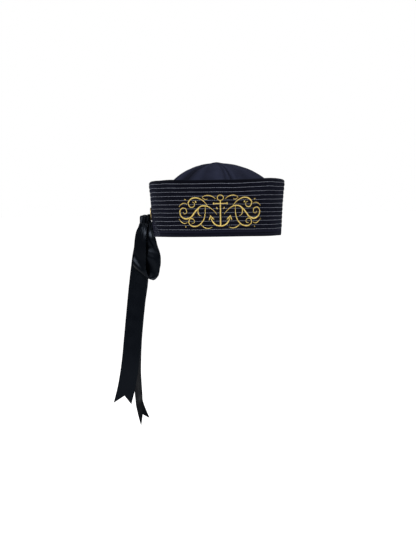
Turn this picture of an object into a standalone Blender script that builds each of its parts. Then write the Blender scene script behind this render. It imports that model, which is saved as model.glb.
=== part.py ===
"""Sailor cap: a domed crown of six gores inside an upright quilted brim that is split at one side.

The two ends of the brim are drawn together there by a satin ribbon, which runs through a brass
eyelet near each end and is tied in a bow with two loops and two long tails.

Everything is in the cap's own frame: the origin is the centre of the head opening in the plane of
the rim, +Z points up to the top of the crown, and the front of the cap faces -Y. Azimuths are in
degrees round the head, 0 at the front and growing towards +X, so the bow at -X is near -90.
"""

import math
from collections import namedtuple

import bmesh
import bpy
from mathutils import Matrix, Vector

MM = 0.001
GAP = 0.3 * MM  # clear space between pieces that touch in the real cap

# Crown: an upright band with a dome on it, sewn from gores
HEAD_RADIUS = 90.8 * MM  # inside of the rim, for a head of 57 cm
CROWN_WALL = 1.5 * MM
BAND_HEIGHT = 32 * MM
DOME_HEIGHT = 78.3 * MM  # from the top of the band to the apex, outside
GORES = 6
FIRST_SEAM = 14  # azimuth
SEAM_DIP = 1.0 * MM
SEAM_SPREAD = 5 * MM  # how far from its middle a seam's dip fades out
GORE_COLUMNS = (0, 0.06, 0.16, 0.32, 0.5, 0.68, 0.84, 0.94)  # shares of a gore's width
DOME_ROWS_OUTSIDE = 12
DOME_ROWS_INSIDE = 8

# Brim: a flared band with stitched rows that turn down at both of its ends
BRIM_FOOT_RADIUS = 95.4 * MM
BRIM_TOP_RADIUS = 101.8 * MM
BRIM_HEIGHT = 84 * MM
BRIM_WALL = 2.7 * MM  # in the stitched rows, where it is thinnest
BRIM_EDGE_ROUND = 1.2 * MM
BRIM_EDGE_SHARE = 0.4  # of the wall, left at a rounded edge
SPLIT_AZIMUTH = -108.5
SPLIT_GAP = 3 * MM
ROWS = 12
FIRST_ROW = 5.6 * MM  # below the top edge, and in from each end
ROW_SPACING = 6.15 * MM
RIB_OUTSIDE = 0.6 * MM  # how far the cloth stands out between two rows
RIB_INSIDE = 0.3 * MM
BRIM_COLUMNS = 40

# Eyelets: turned brass grommets, one in each end of the brim
EYELET_HEIGHT = 34 * MM
EYELET_FROM_SPLIT = 16.5  # degrees
EYELET_HOLE = 4.75 * MM
EYELET_BARREL = 5.4 * MM
EYELET_FLANGE = 9.75 * MM
EYELET_WASHER = 7.3 * MM
EYELET_SIDES = 20

# Ribbon
RIBBON_WALL = 1.0 * MM
RIBBON_WIDTH = 26.5
RIBBON_ACROSS = 6  # strips across the ribbon's width
LOOP_ROWS = 30
TAIL_ROWS = 20
KNOT_CENTRE = Vector((-108.1, 3.0, 26.3)) * MM
KNOT_HALF = Vector((7.0, 8.0, 6.8)) * MM
KNOT_SQUARENESS = 4.5
KNOT_WRAP_RIDGE = 0.35 * MM
LACE_WALL = 0.8 * MM

# Sections of a ribbon in millimetres and degrees: the middle of its width, the width there, which
# way the width points (yaw 90 lies along +X and 0 along -Y, dip turns it below the horizontal),
# and the depth of the gathers that the knot pulls into it.
Section = namedtuple("Section", "x y z width yaw dip gather")

LOOP_SECTIONS = (
    Section(-108.5, -5.5, 27.0, 9, 90, 0, 0.5),
    Section(-109.3, -9.8, 25.5, 10, 86, 0, 0.8),
    Section(-111.5, -13.5, 17.5, 14, 70, 3, 0.9),
    Section(-114.5, -15.5, 6.0, 20, 50, 6, 0.5),
    Section(-116.6, -17.0, -12.0, 26, 40, 9, 0),
    Section(-117.5, -17.5, -31.0, RIBBON_WIDTH, 56, 27, 0),
    Section(-114.5, -18.0, -48.0, RIBBON_WIDTH, 56, 24, 0),
    Section(-107.5, -18.0, -57.5, RIBBON_WIDTH, 61, 29, 0),
    Section(-100.0, -17.5, -52.0, RIBBON_WIDTH, 63, 27, 0),
    Section(-95.7, -17.0, -34.0, RIBBON_WIDTH, 56, 22, 0),
    Section(-97.0, -19.0, -15.0, RIBBON_WIDTH, 47, 15, 0),
    Section(-100.0, -20.9, 2.0, 22, 41, 11, 0.5),
    Section(-103.5, -14.0, 13.0, 15, 60, 5, 0.9),
    Section(-105.8, -9.0, 18.5, 10, 80, 0, 0.8),
    Section(-107.2, -5.5, 22.0, 9, 90, 0, 0.5),
)

FRONT_TAIL_SECTIONS = (
    Section(-111.0, 0.5, 19.1, 7.5, 90, 5, 0.5),
    Section(-112.3, 0.5, 11.0, 10, 90, 6, 0.9),
    Section(-113.6, 0.5, 0.0, 15, 90, 6, 0.9),
    Section(-114.4, 0.7, -12.0, 20, 90, 6, 0.5),
    Section(-115.4, 1.0, -27.0, 24.5, 90, 6, 0),
    Section(-116.9, 1.2, -44.0, RIBBON_WIDTH, 90, 6, 0),
    Section(-121.1, 1.8, -80.4, RIBBON_WIDTH, 90, 6, 0),
    Section(-128.7, 2.6, -152.3, RIBBON_WIDTH, 90, 6, 0),
    Section(-132.6, 3.0, -188.3, RIBBON_WIDTH, 90, 7, 0),
    Section(-138.8, 2.5, -224.2, RIBBON_WIDTH, 90, 11, 0),
    Section(-144.9, 1.0, -248.3, RIBBON_WIDTH, 90, 13, 0),
)

REAR_TAIL_SECTIONS = (
    Section(-106.5, 6.5, 19.1, 7.5, 90, 3, 0.5),
    Section(-107.7, 7.0, 11.0, 10, 92, 4, 0.9),
    Section(-109.3, 7.5, 0.0, 15, 95, 5, 0.9),
    Section(-111.3, 8.0, -12.0, 20, 98, 6, 0.5),
    Section(-113.5, 8.5, -27.0, 24.5, 101, 6, 0),
    Section(-116.0, 9.2, -44.0, RIBBON_WIDTH, 104, 6, 0),
    Section(-122.8, 11.5, -100.0, RIBBON_WIDTH, 120, 5, 0),
    Section(-124.2, 15.5, -155.0, RIBBON_WIDTH, 138, 3, 0),
    Section(-124.0, 18.0, -200.0, RIBBON_WIDTH, 152, 0, 0),
    Section(-122.6, 18.5, -224.4, RIBBON_WIDTH, 156, -3, 0),
    Section(-121.0, 18.5, -239.5, RIBBON_WIDTH, 157, -8, 0),
    Section(-119.2, 18.3, -252.5, RIBBON_WIDTH, 154, -14, 0),
    Section(-111.8, 18.0, -276.2, RIBBON_WIDTH, 148, -24, 0),
)

# The swallow-tail cut at a ribbon's end: how deep the notch is, and how much shorter the second
# of its two points is than the first
Cut = namedtuple("Cut", "notch skew")
FRONT_TAIL_CUT = Cut(12.5 * MM, 3.4 * MM)
REAR_TAIL_CUT = Cut(12.5 * MM, 0)

# The lace: the stretch of ribbon that runs from the knot over the split, in through the rear
# eyelet, between brim and crown, and out through the front eyelet to the knot. Azimuth in degrees;
# radius, height of its middle above the rim and half of its own height in millimetres.
LaceStop = namedtuple("LaceStop", "azimuth radius height half")
LACE_INSIDE = 93.05
LACE_STOPS = (
    LaceStop(-96.0, 103.4, 28.4, 3.8),
    LaceStop(-99.0, 102.5, 28.8, 4.6),
    LaceStop(-104.0, 102.0, 29.6, 5.0),
    LaceStop(-110.0, 101.8, 30.8, 5.0),
    LaceStop(-118.0, 101.8, 32.8, 4.2),
    LaceStop(-123.6, 101.7, 34.0, 3.4),
    LaceStop(-124.6, 101.3, 34.0, 3.4),
    LaceStop(-125.0, 100.4, 34.0, 3.4),
    LaceStop(-125.0, 97.2, 34.0, 3.4),
    LaceStop(-125.0, 94.1, 34.0, 3.4),
    LaceStop(-124.7, 93.3, 34.0, 3.4),
    LaceStop(-124.0, LACE_INSIDE, 34.0, 3.4),
    LaceStop(-121.0, LACE_INSIDE, 34.0, 3.8),
    LaceStop(-117.0, LACE_INSIDE, 34.0, 4.2),
    LaceStop(-113.0, LACE_INSIDE, 34.0, 4.4),
    LaceStop(-108.5, LACE_INSIDE, 34.0, 4.5),
    LaceStop(-104.0, LACE_INSIDE, 34.0, 4.4),
    LaceStop(-100.0, LACE_INSIDE, 34.0, 4.2),
    LaceStop(-96.0, LACE_INSIDE, 34.0, 3.8),
    LaceStop(-93.0, LACE_INSIDE, 34.0, 3.4),
    LaceStop(-92.3, 93.3, 34.0, 3.4),
    LaceStop(-92.0, 94.1, 34.0, 3.4),
    LaceStop(-92.0, 97.2, 34.0, 3.4),
    LaceStop(-92.0, 100.6, 34.0, 3.4),
)

# Worked out from the sizes above
CROWN_RADIUS = HEAD_RADIUS + CROWN_WALL
FLARE = math.atan2(BRIM_TOP_RADIUS - BRIM_FOOT_RADIUS, BRIM_HEIGHT)
BRIM_SLANT = BRIM_HEIGHT / math.cos(FLARE)
BRIM_MEAN_RADIUS = (BRIM_FOOT_RADIUS + BRIM_TOP_RADIUS) / 2
BRIM_LENGTH = 2 * math.pi * BRIM_MEAN_RADIUS - SPLIT_GAP
EYELET_AZIMUTHS = {
    "eyelet_front": SPLIT_AZIMUTH + EYELET_FROM_SPLIT,
    "eyelet_rear": SPLIT_AZIMUTH - EYELET_FROM_SPLIT,
}


def material(name, colour, roughness, metallic=0.0):
    """A Principled BSDF of one linear RGB colour."""
    made = bpy.data.materials.new(name)
    made.use_nodes = True
    shader = made.node_tree.nodes["Principled BSDF"]
    shader.inputs["Base Color"].default_value = (*colour, 1)
    shader.inputs["Roughness"].default_value = roughness
    shader.inputs["Metallic"].default_value = metallic
    made.diffuse_color = (*colour, 1)
    return made


def finish(bm, name, surface):
    """Turns a closed bmesh into an object with its faces outwards and smooth shading."""
    bmesh.ops.recalc_face_normals(bm, faces=bm.faces)
    mesh = bpy.data.meshes.new(name)
    bm.to_mesh(mesh)
    bm.free()
    mesh.materials.append(surface)
    mesh.shade_smooth()
    mesh.set_sharp_from_angle(angle=math.radians(40))
    made = bpy.data.objects.new(name, mesh)
    bpy.context.collection.objects.link(made)
    return made


def around(azimuth, radius, z):
    """A point at an azimuth in degrees round the head."""
    turn = math.radians(azimuth)
    return Vector((radius * math.sin(turn), -radius * math.cos(turn), z))


def fill_between(bm, first, second, closed=False):
    """Quads between two rows of vertices of the same length."""
    count = len(first) if closed else len(first) - 1
    for i in range(count):
        j = (i + 1) % len(first)
        bm.faces.new((first[i], first[j], second[j], second[i]))


# ---------------------------------------------------------------------------------- crown


def crown_profile(inset, dome_rows):
    """(radius, z) from the rim up to just below the apex, and the height of the apex."""
    radius = CROWN_RADIUS - inset
    height = DOME_HEIGHT - inset
    band = [(radius, 0), (radius, BAND_HEIGHT)]
    angles = [math.pi / 2 * i / dome_rows for i in range(1, dome_rows)]
    dome = [(radius * math.cos(a), BAND_HEIGHT + height * math.sin(a)) for a in angles]
    return band + dome, BAND_HEIGHT + height


def crown_row(bm, radius, z):
    """One level of the crown, drawn in along its seams."""
    row = []
    for gore in range(GORES):
        for share in GORE_COLUMNS:
            from_seam = min(share, 1 - share) * 2 * math.pi / GORES * radius
            rise = min(1, radius / (CROWN_RADIUS / 3))
            dip = SEAM_DIP * rise * math.exp(-((from_seam / SEAM_SPREAD) ** 2))
            azimuth = FIRST_SEAM + (gore + share) * 360 / GORES
            row.append(bm.verts.new(around(azimuth, radius - dip, z)))
    return row


def crown_skin(bm, inset, dome_rows):
    """One side of the crown's wall; returns its row at the rim."""
    profile, top = crown_profile(inset, dome_rows)
    rows = [crown_row(bm, radius, z) for radius, z in profile]
    for lower, upper in zip(rows, rows[1:]):
        fill_between(bm, lower, upper, closed=True)
    apex = bm.verts.new((0, 0, top))
    for i, vertex in enumerate(rows[-1]):
        bm.faces.new((vertex, rows[-1][(i + 1) % len(rows[-1])], apex))
    return rows[0]


def make_crown(surface):
    bm = bmesh.new()
    outside = crown_skin(bm, 0, DOME_ROWS_OUTSIDE)
    inside = crown_skin(bm, CROWN_WALL, DOME_ROWS_INSIDE)
    fill_between(bm, outside, inside, closed=True)
    return finish(bm, "crown", surface)


# ---------------------------------------------------------------------------------- brim


def brim_radius(z):
    """Radius of the brim's outer side in its stitched rows."""
    return BRIM_FOOT_RADIUS + (BRIM_TOP_RADIUS - BRIM_FOOT_RADIUS) * z / BRIM_HEIGHT


def row_offsets():
    """Distances from the brim's top edge and ends: the edge, its rounding, and then each
    stitched row with the crest of a rib between it and the next."""
    steps = range(2 * ROWS - 1)
    return [0, BRIM_EDGE_ROUND] + [FIRST_ROW + i * ROW_SPACING / 2 for i in steps]


def brim_point(along, down, crest, side):
    """A point on the brim: along its length from the front end, down from its top edge,
    on the outer (side 1) or inner (side -1) skin, on a rib's crest or not."""
    z = BRIM_HEIGHT * (1 - down / BRIM_SLANT)
    azimuth = SPLIT_AZIMUTH + math.degrees((along + SPLIT_GAP / 2) / BRIM_MEAN_RADIUS)
    at_edge = min(along, BRIM_LENGTH - along, down, BRIM_SLANT - down) < BRIM_EDGE_ROUND / 2
    half = BRIM_WALL / 2 * (BRIM_EDGE_SHARE if at_edge else 1)
    rib = (RIB_OUTSIDE if side > 0 else RIB_INSIDE) if crest else 0
    radius = brim_radius(z) - BRIM_WALL / 2 + side * (half + rib)
    return around(azimuth, radius, z)


def brim_skin(bm, side):
    """One side of the brim; returns the loop of vertices round its edge.

    Its lines are nested like its stitching: each runs up one end, along and down the other."""
    near_foot = BRIM_SLANT - BRIM_EDGE_ROUND
    lines = []
    for number, offset in enumerate(row_offsets()):
        crest = number > 2 and number % 2 == 1
        run = BRIM_LENGTH - 2 * offset
        places = [(offset, BRIM_SLANT), (offset, near_foot)]
        places += [(offset + run * i / BRIM_COLUMNS, offset) for i in range(BRIM_COLUMNS + 1)]
        places += [(BRIM_LENGTH - offset, near_foot), (BRIM_LENGTH - offset, BRIM_SLANT)]
        lines.append([bm.verts.new(brim_point(*place, crest, side)) for place in places])
    for outer, inner in zip(lines, lines[1:]):
        fill_between(bm, outer, inner)

    innermost = lines[-1]
    offset = row_offsets()[-1]
    run = BRIM_LENGTH - 2 * offset
    alongs = [offset + run * i / BRIM_COLUMNS for i in range(1, BRIM_COLUMNS)]
    level, foot = (
        [bm.verts.new(brim_point(along, down, False, side)) for along in alongs]
        for down in (near_foot, BRIM_SLANT)
    )
    level = [innermost[1], *level, innermost[-2]]
    foot = [innermost[0], *foot, innermost[-1]]
    fill_between(bm, innermost[2:-2], level)
    fill_between(bm, level, foot)

    right = [line[-1] for line in lines[1:]]
    left = [line[0] for line in reversed(lines[1:])]
    return lines[0] + right + foot[-2:0:-1] + left


def eyelet_frame(azimuth):
    """The eyelet's place: its origin on the brim's outer side, its +Z along its axis, outwards."""
    outward = around(azimuth, 1, 0)
    up = Vector((0, 0, 1))
    axis = (outward * math.cos(FLARE) - up * math.sin(FLARE)).normalized()
    place = around(azimuth, brim_radius(EYELET_HEIGHT), EYELET_HEIGHT)
    return Matrix.Translation(place) @ axis.to_track_quat("Z", "Y").to_matrix().to_4x4()


def make_brim(surface):
    bm = bmesh.new()
    outside = brim_skin(bm, 1)
    inside = brim_skin(bm, -1)
    fill_between(bm, outside, inside, closed=True)
    bmesh.ops.triangulate(bm, faces=bm.faces)
    brim = finish(bm, "brim", surface)
    for name, azimuth in EYELET_AZIMUTHS.items():
        bm = bmesh.new()
        bore = EYELET_BARREL + GAP
        bmesh.ops.create_cone(
            bm, cap_ends=True, segments=EYELET_SIDES, radius1=bore, radius2=bore, depth=5 * BRIM_WALL
        )
        cutter = finish(bm, name + "_hole", surface)
        cutter.matrix_world = eyelet_frame(azimuth)
        cutter.hide_render = True
        cutter.display_type = "WIRE"
        cut = brim.modifiers.new(name + "_hole", "BOOLEAN")
        cut.operation = "DIFFERENCE"
        cut.object = cutter
    return brim


# ---------------------------------------------------------------------------------- eyelets


def make_eyelet(name, azimuth, surface):
    """A rolled flange outside, a barrel through the brim and a flat washer inside."""
    seat = RIB_OUTSIDE + GAP
    back = -BRIM_WALL - RIB_INSIDE - GAP
    washer = 0.55 * MM
    roll = EYELET_FLANGE - EYELET_HOLE
    profile = [
        (EYELET_HOLE, back - washer),
        (EYELET_HOLE, seat + 0.7 * MM),
        (EYELET_HOLE + 0.15 * roll, seat + 1.1 * MM),
        (EYELET_HOLE + 0.5 * roll, seat + 1.3 * MM),
        (EYELET_HOLE + 0.85 * roll, seat + 1.0 * MM),
        (EYELET_FLANGE, seat + 0.4 * MM),
        (EYELET_FLANGE - 0.3 * MM, seat),
        (EYELET_BARREL, seat),
        (EYELET_BARREL, back),
        (EYELET_WASHER, back),
        (EYELET_WASHER, back - washer),
    ]
    bm = bmesh.new()
    ring = [bm.verts.new((radius, 0, height)) for radius, height in profile]
    edges = [bm.edges.new((ring[i - 1], ring[i])) for i in range(len(ring))]
    bmesh.ops.spin(
        bm,
        geom=ring + edges,
        cent=(0, 0, 0),
        axis=(0, 0, 1),
        angle=2 * math.pi,
        steps=EYELET_SIDES,
        use_merge=True,
    )
    bmesh.ops.remove_doubles(bm, verts=bm.verts, dist=0.001 * MM)
    eyelet = finish(bm, name, surface)
    eyelet.matrix_world = eyelet_frame(azimuth)
    return eyelet


# ---------------------------------------------------------------------------------- ribbon


def section_distances(sections):
    """How far along the ribbon each section lies."""
    places = [Vector((s.x, s.y, s.z)) * MM for s in sections]
    distances = [0]
    for here, there in zip(places, places[1:]):
        distances.append(distances[-1] + (there - here).length)
    return distances


def section_at(sections, distances, distance):
    """The section at a distance along the ribbon, on a smooth curve through the given ones."""
    last = len(sections) - 1
    i = next((i for i in range(last) if distance <= distances[i + 1]), last - 1)
    span = distances[i + 1] - distances[i]
    t = (distance - distances[i]) / span

    def slope(k, values):
        low, high = max(k - 1, 0), min(k + 1, last)
        return (values[high] - values[low]) / (distances[high] - distances[low])

    smooth = []
    for values in zip(*sections):
        start, end = values[i], values[i + 1]
        go, arrive = slope(i, values) * span, slope(i + 1, values) * span
        smooth.append(
            (2 * t**3 - 3 * t**2 + 1) * start
            + (t**3 - 2 * t**2 + t) * go
            + (3 * t**2 - 2 * t**3) * end
            + (t**3 - t**2) * arrive
        )
    return Section(*smooth)


def width_direction(section):
    yaw, dip = math.radians(section.yaw), math.radians(section.dip)
    level = Vector((math.sin(yaw), -math.cos(yaw), 0))
    return level * math.cos(dip) - Vector((0, 0, 1)) * math.sin(dip)


def ribbon_point(sections, distances, distance, across, side):
    """A point on one face of the ribbon; across runs from -0.5 to 0.5 over its width."""
    here = section_at(sections, distances, distance)
    step = 0.5 * MM
    ahead = section_at(sections, distances, min(distance + step, distances[-1]))
    behind = section_at(sections, distances, max(distance - step, 0))
    forward = Vector(ahead[:3]) - Vector(behind[:3])
    width = width_direction(here)
    normal = width.cross(forward).normalized()
    pleat = here.gather * math.cos(math.pi * RIBBON_ACROSS * (across + 0.5))
    middle = Vector((here.x, here.y, here.z))
    return (middle + width * here.width * across + normal * pleat) * MM + normal * side * RIBBON_WALL / 2


def cut_length(cut, across):
    """How much shorter than its longest point the ribbon is cut at a place across it."""
    notch = cut.notch * (1 - abs(2 * across))
    return max(notch + cut.skew * (across + 0.5), 0)


def make_ribbon(name, sections, rows, surface, cut=Cut(0, 0)):
    """A strip of ribbon of even thickness along its sections, cut to a swallow tail at its end."""
    distances = section_distances(sections)
    places = [i / RIBBON_ACROSS - 0.5 for i in range(RIBBON_ACROSS + 1)]
    bm = bmesh.new()
    rims = []
    for side in (1, -1):
        grid = [
            [
                bm.verts.new(
                    ribbon_point(
                        sections,
                        distances,
                        (distances[-1] - cut_length(cut, across)) * row / rows,
                        across,
                        side,
                    )
                )
                for across in places
            ]
            for row in range(rows + 1)
        ]
        for upper, lower in zip(grid, grid[1:]):
            fill_between(bm, upper, lower)
        first = [line[0] for line in grid[-2:0:-1]]
        last = [line[-1] for line in grid[1:-1]]
        rims.append(grid[0] + last + grid[-1][::-1] + first)
    fill_between(bm, rims[0], rims[1], closed=True)
    return finish(bm, name, surface)


def mirrored(sections, drop, shrink):
    """The same loop on the other side of the knot, hanging a little differently."""
    middle = KNOT_CENTRE.y / MM
    return tuple(
        s._replace(
            y=2 * middle - s.y,
            z=KNOT_CENTRE.z / MM + (s.z - KNOT_CENTRE.z / MM) * shrink,
            yaw=180 - s.yaw,
            dip=s.dip * drop,
        )
        for s in sections
    )


def make_knot(surface):
    """The wrapped middle of the bow: a squarish lump with ridges round it where the wrap folds."""
    bm = bmesh.new()
    bmesh.ops.create_uvsphere(bm, u_segments=16, v_segments=10, radius=1)
    for vertex in bm.verts:
        x, y, z = vertex.co
        size = sum(abs(c) ** KNOT_SQUARENESS for c in (x, y, z)) ** (1 / KNOT_SQUARENESS)
        place = Vector((x, y, z)) / size
        ridge = 1 + KNOT_WRAP_RIDGE / KNOT_HALF.x * (math.cos(3 * math.pi * place.y) - 1) / 2
        vertex.co = Vector(
            (
                place.x * KNOT_HALF.x * ridge,
                place.y * KNOT_HALF.y,
                place.z * KNOT_HALF.z * ridge,
            )
        )
    knot = finish(bm, "bow_knot", surface)
    knot.location = KNOT_CENTRE
    return knot


def make_lace(surface):
    """The ribbon through both eyelets, with its width upright all the way."""
    centres = [around(stop.azimuth, stop.radius * MM, 0) for stop in LACE_STOPS]
    bm = bmesh.new()
    rings = []
    for i, (stop, centre) in enumerate(zip(LACE_STOPS, centres)):
        before = centres[max(i - 1, 0)]
        after = centres[min(i + 1, len(centres) - 1)]
        forward = (after - before).normalized()
        sideways = Vector((-forward.y, forward.x, 0)) * LACE_WALL / 2
        ring = []
        for edge, tall in ((-1, -1), (-1, 1), (1, 1), (1, -1)):
            height = (stop.height + tall * stop.half) * MM
            ring.append(bm.verts.new(centre + sideways * edge + Vector((0, 0, height))))
        rings.append(ring)
    for ring, following in zip(rings, rings[1:]):
        fill_between(bm, ring, following, closed=True)
    bm.faces.new(rings[0])
    bm.faces.new(rings[-1])
    return finish(bm, "lace", surface)


def main():
    for old in list(bpy.data.objects):
        bpy.data.objects.remove(old, do_unlink=True)

    crown_cloth = material("crown_twill", (0.017, 0.020, 0.040), 0.85)
    brim_cloth = material("brim_twill", (0.010, 0.011, 0.020), 0.85)
    satin = material("ribbon_satin", (0.005, 0.006, 0.008), 0.35)
    brass = material("eyelet_brass", (0.62, 0.46, 0.20), 0.3, 1.0)

    make_crown(crown_cloth)
    make_brim(brim_cloth)
    for name, azimuth in EYELET_AZIMUTHS.items():
        make_eyelet(name, azimuth, brass)
    make_knot(satin)
    make_lace(satin)
    make_ribbon("bow_loop_front", LOOP_SECTIONS, LOOP_ROWS, satin)
    make_ribbon("bow_loop_rear", mirrored(LOOP_SECTIONS, 0.6, 0.94), LOOP_ROWS, satin)
    make_ribbon("ribbon_tail_front", FRONT_TAIL_SECTIONS, TAIL_ROWS, satin, FRONT_TAIL_CUT)
    make_ribbon("ribbon_tail_rear", REAR_TAIL_SECTIONS, TAIL_ROWS, satin, REAR_TAIL_CUT)


main()
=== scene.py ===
"""Looks of the sailor cap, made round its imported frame: twill, quilting, embroidery, brass and satin.

Sizes are in metres unless a name or a table says millimetres. Azimuths are in degrees round the
head, 0 at the front (-Y) and growing towards +X; the bow is near -90. The sizes below repeat those
of the frame's own source. The ribbon's sections start from its tables and stray from them by a few
millimetres, so that each piece still lies on its solid.
"""

import math
from collections import namedtuple

import bmesh
import bpy
import numpy as np
from mathutils import Matrix, Vector


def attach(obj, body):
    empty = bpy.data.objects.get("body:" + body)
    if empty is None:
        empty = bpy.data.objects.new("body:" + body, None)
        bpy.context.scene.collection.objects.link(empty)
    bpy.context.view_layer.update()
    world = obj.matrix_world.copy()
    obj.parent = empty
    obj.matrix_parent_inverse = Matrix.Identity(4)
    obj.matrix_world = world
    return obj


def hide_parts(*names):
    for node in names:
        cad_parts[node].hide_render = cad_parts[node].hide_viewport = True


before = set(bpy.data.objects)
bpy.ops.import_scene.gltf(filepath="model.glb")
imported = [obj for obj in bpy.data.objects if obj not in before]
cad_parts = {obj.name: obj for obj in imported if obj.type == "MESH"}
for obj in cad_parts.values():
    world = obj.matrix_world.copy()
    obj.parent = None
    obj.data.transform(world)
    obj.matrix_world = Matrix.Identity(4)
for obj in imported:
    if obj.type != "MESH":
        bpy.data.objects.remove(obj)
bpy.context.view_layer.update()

MM = 0.001

# ------------------------------------------------------------------ sizes shared with the frame

CROWN_RADIUS = 92.3 * MM  # outside of the band and of the dome's foot
CROWN_WALL = 1.5 * MM
BAND_HEIGHT = 32 * MM
DOME_HEIGHT = 78.3 * MM
GORES = 6
FIRST_SEAM = 14

BRIM_FOOT_RADIUS = 95.4 * MM
BRIM_TOP_RADIUS = 101.8 * MM
BRIM_HEIGHT = 84 * MM
BRIM_WALL = 2.7 * MM
SPLIT_AZIMUTH = -108.5
SPLIT_GAP = 3 * MM
ROWS = 12
FIRST_ROW = 5.6 * MM
ROW_SPACING = 6.15 * MM
RIB_OUTSIDE = 0.75 * MM
RIB_INSIDE = 0.3 * MM

EYELET_HEIGHT = 34 * MM
EYELET_AZIMUTHS = {"front": SPLIT_AZIMUTH + 16.5, "rear": SPLIT_AZIMUTH - 16.5}
EYELET_HOLE = 4.75 * MM
EYELET_BARREL = 5.4 * MM
EYELET_FLANGE = 9.75 * MM
EYELET_WASHER = 7.3 * MM
EYELET_SEAT = 1.0 * MM  # how far the flange sits off the brim's stitched rows

RIBBON_WIDTH = 26.5  # millimetres, as in the section tables
KNOT_CENTRE = np.array((-108.5, 3.0, 26.3)) * MM
KNOT_HALF = np.array((7.7, 8.0, 6.8)) * MM
KNOT_SQUARENESS = 6

FLARE = math.atan2(BRIM_TOP_RADIUS - BRIM_FOOT_RADIUS, BRIM_HEIGHT)
BRIM_SLANT = BRIM_HEIGHT / math.cos(FLARE)
BRIM_MEAN_RADIUS = (BRIM_FOOT_RADIUS + BRIM_TOP_RADIUS) / 2
BRIM_LENGTH = 2 * math.pi * BRIM_MEAN_RADIUS - SPLIT_GAP
LAST_ROW = FIRST_ROW + (ROWS - 1) * ROW_SPACING

# Sections of a ribbon in millimetres and degrees: the middle of its width, the width there, which
# way the width points, and the depth of the gathers that the knot pulls into it
Section = namedtuple("Section", "x y z width yaw dip gather")

LOOP_SECTIONS = (
    Section(-109.3, -5.0, 22.0, 12.5, 90, 0, 0.3),
    Section(-110.3, -9.0, 19.0, 13.5, 86, 0, 0.4),
    Section(-112.0, -12.4, 13.0, 15, 70, 3, 0.4),
    Section(-114.3, -14.0, 4.5, 20, 54, 6, 0.2),
    Section(-115.8, -15.0, -12.0, 25, 46, 9, 0),
    Section(-116.6, -15.0, -31.0, RIBBON_WIDTH, 48, 24, 0),
    Section(-116.0, -15.6, -47.0, RIBBON_WIDTH, 50, 22, 0),
    Section(-107.4, -14.6, -58.5, RIBBON_WIDTH, 60, 27, 0),
    Section(-99.3, -16.0, -51.3, RIBBON_WIDTH, 62, 26, 0),
    Section(-98.5, -20.0, -34.0, RIBBON_WIDTH, 80, 20, 0),
    Section(-100.0, -18.6, -24.0, RIBBON_WIDTH, 77, 17, 0),
    Section(-102.6, -16.0, -15.0, 26, 73, 14, 0),
    Section(-103.7, -17.4, -4.0, 23.5, 68, 11, 0.1),
    Section(-104.5, -14.4, 5.0, 20.5, 62, 8, 0.2),
    Section(-104.4, -9.8, 12.0, 17.5, 60, 5, 0.3),
    Section(-104.9, -5.4, 18.5, 16.4, 68, 2, 0.3),
    Section(-106.4, -0.6, 24.5, 14.4, 84, 0, 0.2),
)

FRONT_TAIL_SECTIONS = (
    Section(-111.0, 0.5, 19.1, 7.5, 90, 5, 0.5),
    Section(-112.3, 0.5, 11.0, 10, 90, 6, 0.9),
    Section(-113.6, 0.5, 0.0, 15, 90, 6, 0.9),
    Section(-114.4, 0.7, -12.0, 20, 90, 6, 0.5),
    Section(-115.4, 1.0, -27.0, 24.5, 90, 6, 0),
    Section(-116.9, 1.2, -44.0, RIBBON_WIDTH, 90, 6, 0),
    Section(-121.6, 1.0, -80.4, RIBBON_WIDTH, 90, 6, 0),
    Section(-129.4, -0.4, -152.3, RIBBON_WIDTH, 90, 6, 0),
    Section(-133.4, -0.8, -188.3, RIBBON_WIDTH, 90, 7, 0),
    Section(-139.6, 1.2, -224.2, RIBBON_WIDTH, 90, 11, 0),
    Section(-146.8, 4.0, -252.3, RIBBON_WIDTH, 90, 13, 0),
)

REAR_TAIL_SECTIONS = (
    Section(-106.5, 6.5, 19.1, 7.5, 90, 3, 0.5),
    Section(-107.7, 7.0, 11.0, 10, 92, 4, 0.9),
    Section(-109.3, 7.5, 0.0, 15, 95, 5, 0.9),
    Section(-111.3, 8.0, -12.0, 20, 98, 6, 0.5),
    Section(-113.5, 8.5, -27.0, 24.5, 101, 6, 0),
    Section(-116.0, 9.2, -44.0, RIBBON_WIDTH, 104, 6, 0),
    Section(-118.0, 10.2, -72.0, RIBBON_WIDTH, 112, 5, 0),
    Section(-121.6, 11.5, -100.0, RIBBON_WIDTH, 120, 5, 0),
    Section(-125.0, 15.5, -155.0, RIBBON_WIDTH, 138, 3, 0),
    Section(-124.6, 18.0, -200.0, RIBBON_WIDTH, 152, 0, 0),
    Section(-123.1, 18.5, -224.4, RIBBON_WIDTH, 156, -3, 0),
    Section(-122.0, 18.4, -239.5, RIBBON_WIDTH, 157, -8, 0),
    Section(-121.0, 18.6, -252.5, RIBBON_WIDTH, 158, -14, 0),
    Section(-112.8, 21.5, -280.0, RIBBON_WIDTH, 149, -23, 0),
)

Cut = namedtuple("Cut", "notch skew")
STRAIGHT_END = Cut(0, 0)
FRONT_TAIL_CUT = Cut(12.5 * MM, 3.4 * MM)
REAR_TAIL_CUT = Cut(12.5 * MM, 0)

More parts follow.
